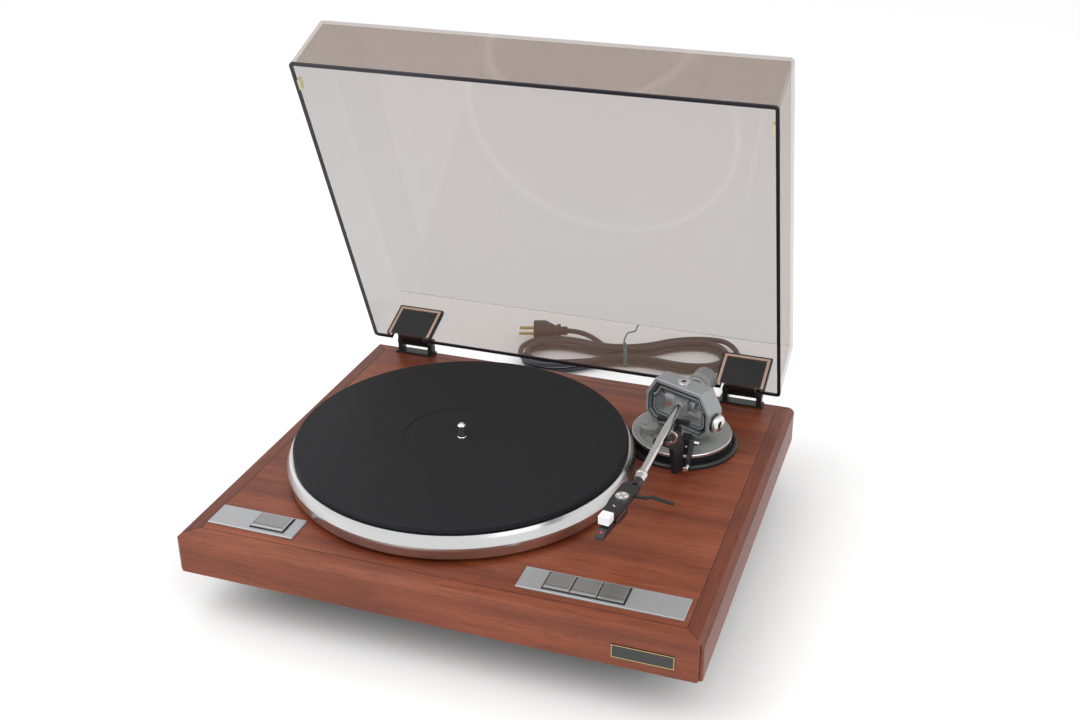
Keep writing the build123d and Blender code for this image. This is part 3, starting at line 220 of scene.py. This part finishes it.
axis_centre = spot(*PLATTER)
mat_rubber = material("mat_rubber", (0.0085, 0.0088, 0.0105), 0.6, specular=0.24)
bump(mat_rubber, rings(mat_rubber, axis_centre, 0.0016), 0.25, 0.0003)
platter_metal = material("platter_metal", (0.66, 0.66, 0.665), 0.24, metal=1.0)
turned = node(platter_metal, "ShaderNodeSeparateXYZ")
link(platter_metal, node(platter_metal, "ShaderNodeTexCoord").outputs["Object"], turned.inputs[0])
turned_scale = node(platter_metal, "ShaderNodeMath", operation="DIVIDE")
turned_scale.inputs[1].default_value = 0.0005
link(platter_metal, turned.outputs["Z"], turned_scale.inputs[0])
turned_noise = node(platter_metal, "ShaderNodeTexNoise", noise_dimensions="1D", Scale=1.0, Detail=3.0)
link(platter_metal, turned_scale.outputs[0], turned_noise.inputs["W"])
bump(platter_metal, turned_noise.outputs["Fac"], 0.12, 0.0002)

TINT, MARK_TINT = (0.19, 0.105, 0.062), (0.58, 0.50, 0.44)
MARK, MARK_R, MARK_W = (40, -85, 66), 0.120, 0.0016
tinted = material("tinted_lid", TINT, 0.05, alpha=0.32)
lid_mark = opened(*MARK)
mark_far = distance_from(tinted, lid_mark, (1, 1, 1))
mark = ramp(tinted, mark_far, [(MARK_R - MARK_W, TINT), (MARK_R, MARK_TINT), (MARK_R + MARK_W, TINT)])
scuff_noise = noise(tinted, [60.0, 60.0, 60.0], 1.0, 6.0, 0.8)
scuffs = ramp(tinted, scuff_noise, [(0.66, (0, 0, 0)), (0.8, (0.3, 0.27, 0.25))])
lid_color = tinted.node_tree.nodes["Principled BSDF"].inputs["Base Color"]
link(tinted, mixed(tinted, 0.4, mark, scuffs, "ADD"), lid_color)
lid_edge = material("lid_edge", (0.004, 0.005, 0.012), 0.3)
# Pale and half clear: a painted highlight line on the lid, and the colour of its fine scratches
lid_glint_and_scratch = material("lid_glint_and_scratch", (0.8, 0.78, 0.76), 0.3, alpha=0.5)
wire_red = material("wire_red", (0.42, 0.03, 0.03), 0.5)

looks = {
    mahogany: "front_rail rear_rail top_panel",
    mahogany_side: "left_rail right_rail",
    black: "base_tray feet switch_blocks arm_base_ring headshell stylus arm_rest lift_post lift_bar "
    "cue_lever hinge_bases cord_glands hinge_leaves",
    black_gloss: "front_plate cartridge",
    brass: "bearing_housing motor_pulley plug_pins earth_spade",
    bright: "spindle rest_clip pivot_screws head_lock",
    steel: "motor_mount motor transformer hinge_pins",
    platter_metal: "platter drive_disc",
    mat_rubber: "platter_mat drive_belt",
    board_green: "circuit_board",
    plate_metal: "control_plates",
    button_grey: "power_button speed_button_33 speed_button_45 speed_button_78",
    disc_grey: "arm_base_disc anti_skate_dial",
    gimbal_grey: "gimbal_frame gimbal_ring arm_block arm_pillar",
    tube_metal: "arm_tube",
    white: "head_nose",
    weight_grey: "counterweight",
    tinted: "lid",
    clear: "lid_pockets",
    pale_rubber: "lid_bumpers",
    cord_grey: "mains_hank mains_lead earth_lead plug_body",
    teal: "hank_tie",
}
for look, names in looks.items():
    for name in names.split():
        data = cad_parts[name].data
        data.materials.clear()
        data.materials.append(look)


# Small builders
def piece(name, verts, faces, look, body):
    """A mesh piece that rides on a body."""
    mesh = bpy.data.meshes.new(name)
    mesh.from_pydata([tuple(v) for v in verts], [], faces)
    mesh.update()
    o = bpy.data.objects.new(name, mesh)
    scene.collection.objects.link(o)
    mesh.materials.append(look)
    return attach(o, body)


def block(name, corner_a, corner_b, look, body):
    """A box between two corners in millimetres."""
    xs, ys, zs = zip(corner_a, corner_b)
    verts = [spot(x, y, z) for z in zs for y in ys for x in xs]
    faces = [(0, 2, 3, 1), (4, 5, 7, 6), (0, 1, 5, 4), (2, 6, 7, 3), (0, 4, 6, 2), (1, 3, 7, 5)]
    return piece(name, verts, faces, look, body)


def turned_piece(name, profile, origin, axis, look, body, steps=48):
    """A solid of revolution: (radius, distance along the axis) pairs in millimetres."""
    axis = Vector(axis).normalized()
    side = axis.orthogonal().normalized()
    up = axis.cross(side)
    verts, faces = [], []
    for r, h in profile:
        for k in range(steps):
            a = 2 * math.pi * k / steps
            verts.append(origin + axis * h * MM + (side * math.cos(a) + up * math.sin(a)) * r * MM)
    for j in range(len(profile) - 1):
        for k in range(steps):
            n = (k + 1) % steps
            faces.append((j * steps + k, j * steps + n, (j + 1) * steps + n, (j + 1) * steps + k))
    if profile[0][0] > 0:
        faces.append(tuple(reversed(range(steps))))
    if profile[-1][0] > 0:
        faces.append(tuple(range((len(profile) - 1) * steps, len(profile) * steps)))
    return piece(name, verts, faces, look, body)


def strip(name, path, width, low, high, look, body, slot, place=spot, closed=False):
    """A flat band along a path in two directions of a place, between two heights in the third."""
    count, verts, faces = len(path), [], []
    for i, (x, y) in enumerate(path):
        ways = []
        for a, b in ((i - 1, i), (i, i + 1)):
            if closed or (a >= 0 and b < count):
                (x0, y0), (x1, y1) = path[a % count], path[b % count]
                run = math.hypot(x1 - x0, y1 - y0)
                ways.append(((y0 - y1) / run, (x1 - x0) / run))
        nx, ny = (sum(w[k] for w in ways) / len(ways) for k in (0, 1))
        out = width / 2 / (nx * nx + ny * ny)
        for side, z in ((-1, low), (1, low), (1, high), (-1, high)):
            verts.append(place(x + side * out * nx, y + side * out * ny, z))
    for i in range(count if closed else count - 1):
        a, b = 4 * i, 4 * ((i + 1) % count)
        faces += [(a + k, a + (k + 1) % 4, b + (k + 1) % 4, b + k) for k in range(4)]
    if not closed:
        faces += [(3, 2, 1, 0), tuple(4 * count - 4 + k for k in range(4))]
    return piece(name, verts, faces, look, body)


def arc(cx, cy, r, start, stop, steps=24):
    """Points of an arc, in degrees."""
    turns = [math.radians(start + (stop - start) * k / steps) for k in range(steps + 1)]
    return [(cx + r * math.cos(a), cy + r * math.sin(a)) for a in turns]


def box_path(cx, cy, w, d):
    """The corners of a rectangle round a centre."""
    return [(cx + sx * w / 2, cy + sy * d / 2) for sx, sy in ((-1, -1), (1, -1), (1, 1), (-1, 1))]


def line(name, points, radius, look, body):
    """A thin round wire through control points in metres."""
    data = bpy.data.curves.new(name, "CURVE")
    data.dimensions = "3D"
    data.bevel_depth = radius * MM
    data.bevel_resolution = 4
    data.resolution_u = 12
    data.use_fill_caps = True
    s = data.splines.new("NURBS")
    s.points.add(len(points) - 1)
    for p, q in zip(s.points, points):
        p.co = (*q, 1)
    s.order_u = 3
    s.use_endpoint_u = True
    data.materials.append(look)
    o = bpy.data.objects.new(name, data)
    scene.collection.objects.link(o)
    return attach(o, body)


# Mains lead: the tied hank's runs, waist and end loops, then the free stretch to its strain relief
LEAD_R = 3.0
TILT = math.radians(18)
HANK = (-3.0, 378.0)
HALF, LOBE_OUT = 85.0, 21.0
WAISTS = [15.6, 11.7, 7.8, 3.9, 7.8, 11.7, 15.6]
LOW, HIGH = 4.7, 11.6
PLUG = (-66.0, 55.0, 12.7)


def hank(u, v, z):
    """A point of the hank in millimetres: along it, across it and above the floor."""
    x = HANK[0] + u * math.cos(TILT) - v * math.sin(TILT)
    y = PLINTH_Y + HANK[1] + u * math.sin(TILT) + v * math.cos(TILT)
    return (x, y, z)


route = [hank(*PLUG)]
route.append(hank(PLUG[0] + 21, PLUG[1], 12.0))
route.append(hank(-15, WAISTS[0], LOW))
for i, waist in enumerate(WAISTS):
    side = 1 if i % 2 == 0 else -1
    waist_z, lobe_z = (HIGH if i + k > 3 else LOW for k in (0, 1))
    if i:
        route.append(hank(-side * 0.75 * HALF, side * (waist + LOBE_OUT), last_z))
        route.append(hank(-side * 0.25 * HALF, side * waist, waist_z))
    route.append(hank(side * 0.25 * HALF, side * waist, waist_z))
    route.append(hank(side * 0.75 * HALF, side * (waist + LOBE_OUT), lobe_z))
    last_z = lobe_z
    if i + 1 < len(WAISTS):
        bend = (waist + WAISTS[i + 1]) / 2 + LOBE_OUT
        middle = side * (waist - WAISTS[i + 1]) / 2
        reach = bend / math.cos(math.radians(22.5))
        for degrees in (67.5, 22.5, -22.5, -67.5):
            a = math.radians(degrees)
            u, v = side * (HALF + reach * math.cos(a)), middle + side * reach * math.sin(a)
            route.append(hank(u, v, lobe_z))
route += [
    hank(HALF + 24, WAISTS[-1] + LOBE_OUT, HIGH),
    (108, PLINTH_Y + 441, 9.5),
    (120, PLINTH_Y + 424, 6.0),
    (125, PLINTH_Y + 399, 3.8),
    (125.5, PLINTH_Y + 366, 3.2),
    (124, PLINTH_Y + 330, 3.2),
    (121, PLINTH_Y + 294, 3.6),
    (119, PLINTH_Y + 259, 7.0),
    (118, PLINTH_Y + 228, 17.0),
    (118, PLINTH_Y + 206, GLAND_Z),
    (118, PLINTH_Y + 182, GLAND_Z),
]
RIB_PITCH = 1.8
ribs = [(4.4, 0.4)]
for k in range(4):
    ribs += [(r, at + RIB_PITCH * k) for r, at in ((5.5, 0.6), (5.7, 1.5), (4.7, 1.7), (4.7, 2.2))]
away = Vector((-math.cos(TILT), -math.sin(TILT), 0))
turned_piece("plug_ribs", ribs, Vector(hank(*PLUG)) * MM, away, cord_grey, "plinth", 32)
mains = line("mains_cord", [Vector(p) * MM for p in route], LEAD_R, cord_grey, "plinth")
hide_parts("mains_hank", "mains_lead")
EARTH_R = 1.2
earth_route = [
    (40, 172, GLAND_Z), (40, 186, GLAND_Z), (41, 204, 19.0), (44, 222, 9.5), (48, 240, 3.6), (53, 258, 1.7),
    (57.5, 276, 1.5), (61, 294, 1.5), (63, 312, 1.5), (62.5, 330, 1.5),
]
earth_points = [Vector((x, PLINTH_Y + y, z)) * MM for x, y, z in earth_route]
earth = line("earth_cord", earth_points, EARTH_R, cord_grey, "plinth")
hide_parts("earth_lead")

# Seams between the deck and the rails, and at the mitres
DECK_W, DECK_D = PLINTH_W - 2 * RAIL_W, PLINTH_D - 2 * RAIL_W
SEAM = (0.6, -0.1, 0.05)
MITRE = 10.8
strip("deck_seam", box_path(0, 0, DECK_W, DECK_D), *SEAM, seam, "plinth", "mahogany", closed=True)
for sx in (-1, 1):
    for sy in (-1, 1):
        ends = [(sx * (DECK_W / 2 + out), sy * (DECK_D / 2 + out)) for out in (0, MITRE)]
        strip(f"mitre_{sx}_{sy}", ends, *SEAM, seam, "plinth", "mahogany_dark")

# Buttons: bright edges and a groove line of painted shade on each cap, painted shade in the gaps of the
# plates, and the front plate's brass edge
CAP_TOP, CAP_LOW, PLATE_TOP = 3.5, 2.7, 1.5
POWER, SPEED = (-150.8, -151.5), (120.3, -153.4)
SPEED_PITCH = 21.5
caps = {"power_button": (*POWER, 29.0, 19.5)}
for k, name in enumerate(("speed_button_33", "speed_button_45", "speed_button_78")):
    caps[name] = (SPEED[0] + (k - 1) * SPEED_PITCH, SPEED[1], 21.0, 20.5)
for name, (x, y, w, d) in caps.items():
    edge = box_path(x, y, w - 0.7, d - 0.7)
    strip(name + "_edge", edge[:2], 0.6, CAP_LOW, CAP_TOP + 0.03, bright, name, "grey_plastic")
    strip(name + "_side", edge[1:3], 0.5, CAP_LOW, CAP_TOP + 0.02, bright, name, "grey_plastic")
    groove = [(x + end * (w / 2 - 1), y - d / 2 + 3) for end in (-1, 1)]
    strip(name + "_groove", groove, 0.3, CAP_TOP - 0.1, CAP_TOP + 0.03, gap_shade, name, "black_plastic")
for name, centre, w, d in (("power_gap", POWER, 30.6, 21.1), ("speed_gap", SPEED, 65.6, 22.1)):
    low, high = PLATE_TOP - 0.1, PLATE_TOP + 0.06
    strip(name, box_path(*centre, w, d), 0.9, low, high, gap_shade, "plinth", "black_plastic", closed=True)


def front(x, z, out):
    """A point before the front rail."""
    return spot(x, -PLINTH_D / 2 - out, z)


plate_edge = box_path(175.2, -21.1, 47.6, 10.8)
strip("front_plate_edge", plate_edge, 0.5, 0, 0.9, brass, "plinth", "brass", front, True)

# Lid: black rim, hinge pockets with black outlines and tan edges, a painted highlight along the inner edge of
# the rear wall, and fine scratches
REAR, FRONT, HALF_W, CORNER_R = 164.5, -169.5, 207.5, 2.5
LEAF_X, NOTCH_HALF = 170.5, 19.0
RIM = (3.12, 0.34, 1.9)
side = [(LEAF_X + NOTCH_HALF, REAR)] + arc(HALF_W - CORNER_R, REAR - CORNER_R, CORNER_R, 90, 0, 4)
side += arc(HALF_W - CORNER_R, FRONT + CORNER_R, CORNER_R, 0, -90, 4)
rim = side + [(-x, y) for x, y in reversed(side)]
rear_rim = [(end * (LEAF_X - NOTCH_HALF), REAR) for end in (-1, 1)]
strip("lid_rim", rim, *RIM, lid_edge, "lid", "black_gloss", opened)
strip("lid_rim_rear", rear_rim, *RIM, lid_edge, "lid", "black_gloss", opened)
PANEL_IN, LINE_Y = 63.4, 162.4
# A painted highlight along the top inner edge of the lid's rear wall
glint = [(-205, LINE_Y), (205, LINE_Y)]
strip("lid_glint_line", glint, 0.9, PANEL_IN - 0.8, PANEL_IN, lid_glint_and_scratch, "lid", "clear_plastic", opened)
POCKET_FACE = 158.5
for mid in (-LEAF_X, LEAF_X):
    tag = "left" if mid < 0 else "right"

    def pocket(x, z, y):
        return opened(mid + x, y, z)

    outline = [(-22.9, 0.9), (-22.9, 39.3), (22.9, 39.3), (22.9, 0.9)]
    low, high = POCKET_FACE - 0.1, 163.1
    strip(f"pocket_line_{tag}", outline, 1.4, low, high, lid_edge, "lid", "black_gloss", pocket)
    inset = [(-20.8, 1.0), (-20.8, 37.2), (20.8, 37.2), (20.8, 1.0)]
    strip(f"pocket_tan_{tag}", inset, 2.6, POCKET_FACE - 0.05, 159.0, tan, "lid", "clear_plastic", pocket)
    leaf = [(0, 1.0), (0, 34.5)]
    low, high = POCKET_FACE, POCKET_FACE + 0.2
    strip(f"pocket_leaf_{tag}", leaf, 38.6, low, high, black, "lid", "black_plastic", pocket)
    notch = [(-19.2, 0.4), (-19.2, 9.2), (19.2, 9.2), (19.2, 0.4)]
    strip(f"notch_line_{tag}", notch, 0.8, 162.9, 166.05, lid_edge, "lid", "black_gloss", pocket)
random.seed(4)
SCRATCH_COUNT = 26
scratches, quads = [], []
for k in range(SCRATCH_COUNT):
    x, y = random.uniform(-190, 190), random.uniform(-150, 140)
    turn, half = random.uniform(-0.9, 0.9) + math.pi / 2, random.uniform(0.8, 7)
    dx, dy, w = half * math.cos(turn), half * math.sin(turn), random.uniform(0.12, 0.3)
    for end, edge in ((-1, -1), (-1, 1), (1, 1), (1, -1)):
        scratches.append(opened(x + end * dx + edge * w, y + end * dy, PANEL_IN - 0.1))
    quads.append(tuple(range(4 * k, 4 * k + 4)))
piece("lid_scratches", scratches, quads, lid_glint_and_scratch, "lid")

# Tone arm base: a bright edge on the disc, dark arcs of painted shade for gaps in the disc, scale marks round
# the dial and the dial's pointer
UP = (0, 0, 1)
edge_profile = [(44.6, 12.2), (44.9, 12.36), (45.3, 12.2), (45.56, 11.7), (45.56, 10.2), (45.2, 10.2)]
turned_piece("disc_edge", edge_profile, spot(*ARM), UP, bright, "plinth", 96)
low, high = DISC_TOP - 0.1, DISC_TOP + 0.08
strip("disc_arc", arc(*ARM, 30, 118, 322, 48), 0.8, low, high, gap_shade, "plinth", "black_plastic")
strip("disc_arc_outer", arc(*ARM, 38.5, 200, 262, 24), 0.35, low, high, gap_shade, "plinth", "black_plastic")
DIAL, DIAL_TOP = (106.0, 77.0), 18.6
for k in range(9):
    a = math.radians(105 + 20 * k)
    ends = [(DIAL[0] + r * math.cos(a), DIAL[1] + r * math.sin(a)) for r in (10.2, 12.6 if k % 2 else 13.6)]
    strip(f"dial_mark_{k}", ends, 0.45, low, DISC_TOP + 0.06, black, "plinth", "black_plastic")
pointer = [(DIAL[0] - 7.6, DIAL[1]), (DIAL[0] - 2, DIAL[1])]
low, high = DIAL_TOP - 0.2, DIAL_TOP + 0.06
strip("dial_pointer", pointer, 0.9, low, high, black, "anti_skate_dial", "black_plastic")

# Gimbal: lines of painted shade in the gaps round the frame's opening and the ring, the top screw's cap with
# painted shade round it and in its socket, and the ring's side points
TURN, GIMBAL_HALF = math.radians(-23), 35.4
ACROSS = Vector((math.cos(TURN), math.sin(TURN), 0))
FORWARD = Vector((math.sin(TURN), -math.cos(TURN), 0))


def gimbal(u, z, out):
    """A point of the gimbal's face: across, up from the deck, and out towards the platter side."""
    return spot(*ARM, z) + (ACROSS * u + FORWARD * out) * MM


def eight(inset):
    """The gimbal's outline, drawn in."""
    corners = [(25.3, 60.5), (GIMBAL_HALF, 43.3), (GIMBAL_HALF, 25.3), (27.5, 16.8)]
    corners += [(-u, z) for u, z in reversed(corners)]
    moved = []
    for i, (u, z) in enumerate(corners):
        (u0, z0), (u1, z1) = corners[i - 1], corners[(i + 1) % 8]
        a = Vector((z0 - z, u - u0)).normalized()
        b = Vector((z - z1, u1 - u)).normalized()
        m = (a + b) / (1 + a.dot(b))
        moved.append((u - m.x * inset, z - m.y * inset))
    return moved


strip("frame_line", eight(3.9), 0.9, 9.0, 9.5, gap_shade, "plinth", "black_plastic", gimbal, True)
strip("ring_line", eight(6.8), 0.7, 6.2, 6.62, gap_shade, "gimbal_ring", "black_plastic", gimbal, True)
strip("ring_inner_line", eight(9.5), 0.6, 6.2, 6.6, gap_shade, "gimbal_ring", "black_plastic", gimbal, True)
ring_profile = [(4.9, 61.5), (4.9, 61.86), (5.4, 61.86), (5.4, 61.5)]
dome_profile = [(6.25, 60.6), (6.25, 61.2), (5.4, 61.95), (2.6, 62.3), (2.1, 62.2), (2.1, 61.4)]
arm_axis = spot(*ARM)
turned_piece("screw_ring", ring_profile, arm_axis, UP, gap_shade, "plinth")
turned_piece("screw_dome", dome_profile, arm_axis, UP, bright, "plinth")
turned_piece("screw_socket", [(2.1, 61.2), (2.1, 61.9)], arm_axis, UP, gap_shade, "plinth", 6)
point_profile = [(2.0, 0), (2.0, 0.8), (1.2, 1.1)]
for tag, u in (("left", -27.5), ("right", 27.5)):
    at = gimbal(u, PIVOT_Z, 6.4)
    turned_piece(f"side_point_{tag}", point_profile, at, FORWARD, steel, "gimbal_ring", 24)

# Force dial: silver face, painted shade in its slot and at its hub, a red mark, black skirt
FORCE_Z, FORCE_OUT = 33.0, GIMBAL_HALF + 0.3 + 5.0


def dial(up, back, out):
    """A point of the force dial's face."""
    return spot(*ARM, FORCE_Z + up) + (ACROSS * (FORCE_OUT + out) - FORWARD * back) * MM


face_profile = [(2.6, -0.1), (2.6, 0.12), (3.2, 0.3), (7.0, 0.12), (7.4, -0.2)]
skirt_profile = [(8.2, -5.0), (8.75, -4.8), (8.75, -2.6), (8.2, -2.4)]
face_at = dial(0, 0, 0)
turned_piece("dial_face", face_profile, face_at, ACROSS, bright, "force_dial", 64)
turned_piece("dial_skirt", skirt_profile, face_at, ACROSS, black_gloss, "force_dial", 64)
strip("dial_slot", [(-0.2, 0), (-5.4, -1.6)], 2.6, -0.4, 0.42, gap_shade, "force_dial", "black_plastic", dial)
hub_profile = [(2.5, -0.6), (2.5, 0.1)]
turned_piece("dial_hub", hub_profile, face_at, ACROSS, gap_shade, "force_dial", 32)
strip("dial_red", [(-3.6, -1.8), (-5.6, -2.6)], 0.8, 0, 0.5, red, "force_dial", "aluminium", dial)

# Counterweight: two bright rings and a turned end
LEAN = math.radians(10)
BACK = Vector((math.sin(LEAN), math.cos(LEAN), 0))
stub = spot(*ARM, PIVOT_Z)
for k, at in enumerate((33.0, 36.0)):
    ring = [(10.3, at), (11.15, at + 0.15), (11.15, at + 1.05), (10.3, at + 1.2)]
    turned_piece(f"weight_ring_{k}", ring, stub, BACK, bright, "counterweight", 64)
end_profile = [(4.2, 52.9), (4.2, 53.2), (8.6, 53.2), (9.0, 52.9)]
turned_piece("weight_end", end_profile, stub, BACK, steel, "counterweight", 64)

# Arm lift: silver pins, the lever's silver end and white marks; then the screw head of the arm's rest
NEAR = (0, -1, 0)
lift_parts = [
    ("lift_pin_left", [(1.4, 0), (1.4, 7.5), (0.9, 8.0)], spot(142, 48.6, 21), (-1, 0, 0), "plinth"),
    ("lift_pin_right", [(1.9, 0), (1.9, 3.6), (1.4, 4.1)], spot(154.1, 49.5, 24), (1, 0, 0), "plinth"),
    ("lever_end", [(2.25, 2.6), (2.5, 2.8), (2.5, 8.1), (2.0, 8.4)], spot(152, 34.5, 9.5), NEAR, "cue_lever"),
]
for name, profile, at, way, body in lift_parts:
    turned_piece(name, profile, at, way, bright, body, 24)
mark_profile = [(0.9, -0.1), (0.9, 0.12)]
for k, (x, z) in enumerate(((144.2, 23.6), (147.6, 20.4))):
    turned_piece(f"lift_mark_{k}", mark_profile, spot(x, 47, z), NEAR, white, "plinth", 16)
block("rest_screw_head", (141.2, 36.4, 4.0), (143.2, 38.2, 4.8), bright, "plinth")

# Headshell: its screw, lines on cartridge and nose, the stylus carrier's red dot, gold pins with their wires
HEAD = math.radians(8)
SHELL_TOP, NECK = 3.0, 149.5


def shell(u, v, w):
    """A point of the headshell: along it from its neck, across to the right, and up."""
    u, v = u * MM, v * MM
    c, s = math.cos(HEAD), math.sin(HEAD)
    return spot(ARM[0], ARM[1] - NECK, TUBE_Z) + Vector((-s * u + c * v, -c * u - s * v, w * MM))


screw_profile = [(2.3, -0.1), (2.3, 0.25), (1.8, 0.5), (0, 0.5)]
turned_piece("shell_screw", screw_profile, shell(46, 0, SHELL_TOP), UP, black_gloss, "arm", 32)
slot_ends = [(45.0, -1.2), (47.0, 1.2)]
strip("shell_slot", slot_ends, 0.6, SHELL_TOP + 0.4, SHELL_TOP + 0.56, white, "arm", "grey_plastic", shell)
strip("cartridge_line", [(36.5, 0), (55.0, 0)], 13.2, -3.1, -2.7, steel, "arm", "steel", shell)
strip("nose_line", [(56.2, 0), (65.4, 0)], 9.7, -2.0, -1.6, black, "arm", "black_plastic", shell)
carrier_slope = shell(4, 0, 7) - shell(0, 0, 0)
dot_profile = [(1.1, -0.1), (1.1, 0.15)]
turned_piece("stylus_dot", dot_profile, shell(69.2, 0, -7.3), carrier_slope, red, "arm", 20)
HEAD_AXIS = shell(1, 0, 0) - shell(0, 0, 0)
wires = [(-2, -3.5, white), (2, -3.5, wire_red), (-2, -6.9, teal), (2, -6.9, wire_red)]
pin_profile = [(0.68, 0), (0.68, 4.0)]
for k, (v, w, look) in enumerate(wires):
    turned_piece(f"gold_pin_{k}", pin_profile, shell(30, v, w), HEAD_AXIS, brass, "arm", 16)
    run = [shell(30.4, v, w), shell(27.5, v + 1.5, w + 0.3)]
    run += [shell(25.5, v * 0.6 + 4.6, w * 0.5 - 1.6), shell(22.0, v * 0.4 + 4.0, -1.7)]
    line(f"wire_{k}", run, 0.4, look, "arm")


# Ring on the collar of the arm's tube
def tube(x, z, out):
    """A point round the arm's tube: across, up, and along it from the pivot."""
    return spot(ARM[0] + x, ARM[1] - out, TUBE_Z + z)


COLLAR_R, COLLAR_STEPS = 5.06, 40
collar = arc(0, 0, COLLAR_R, 0, 360, COLLAR_STEPS)[:-1]
strip("collar_ring", collar, 0.5, 138.2, 138.8, steel, "arm", "steel", tube, True)

# Hinge barrels: bright screw ends
DOT_OFF = 19.3
dot_profile = [(1.9, 0), (1.9, 0.3), (1.3, 0.6), (0, 0.6)]
for mid in (-LEAF_X, LEAF_X):
    for out in (-1, 1):
        x, way = mid + out * DOT_OFF, (out, 0, 0)
        turned_piece(f"hinge_dot_{int(x)}", dot_profile, spot(x, *HINGE), way, bright, "plinth", 24)

# Floor and light
FLOOR = 4
floor_look = material("floor", (0.97, 0.97, 0.97), 0.9, specular=0.1)
floor_mesh = bpy.data.meshes.new("floor")
floor_corners = [(-FLOOR, -FLOOR, 0), (FLOOR, -FLOOR, 0), (FLOOR, FLOOR, 0), (-FLOOR, FLOOR, 0)]
floor_mesh.from_pydata(floor_corners, [], [(0, 1, 2, 3)])
floor_mesh.materials.append(floor_look)
floor = bpy.data.objects.new("floor", floor_mesh)
scene.collection.objects.link(floor)
world = bpy.data.worlds.new("world")
world.use_nodes = True
world.node_tree.nodes["Background"].inputs["Color"].default_value = (1, 1, 1, 1)
world.node_tree.nodes["Background"].inputs["Strength"].default_value = 0.95
scene.world = world


def light(name, where, size, power):
    data = bpy.data.lights.new(name, "AREA")
    data.shape, data.size, data.energy = "SQUARE", size, power
    o = bpy.data.objects.new(name, data)
    o.location = where
    o.rotation_euler = (-Vector(where)).to_track_quat("-Z", "Y").to_euler()
    scene.collection.objects.link(o)


light("key", (-1.3, -0.8, 2.2), 2.2, 22)
light("fill", (1.6, -1.0, 1.4), 1.6, 9)
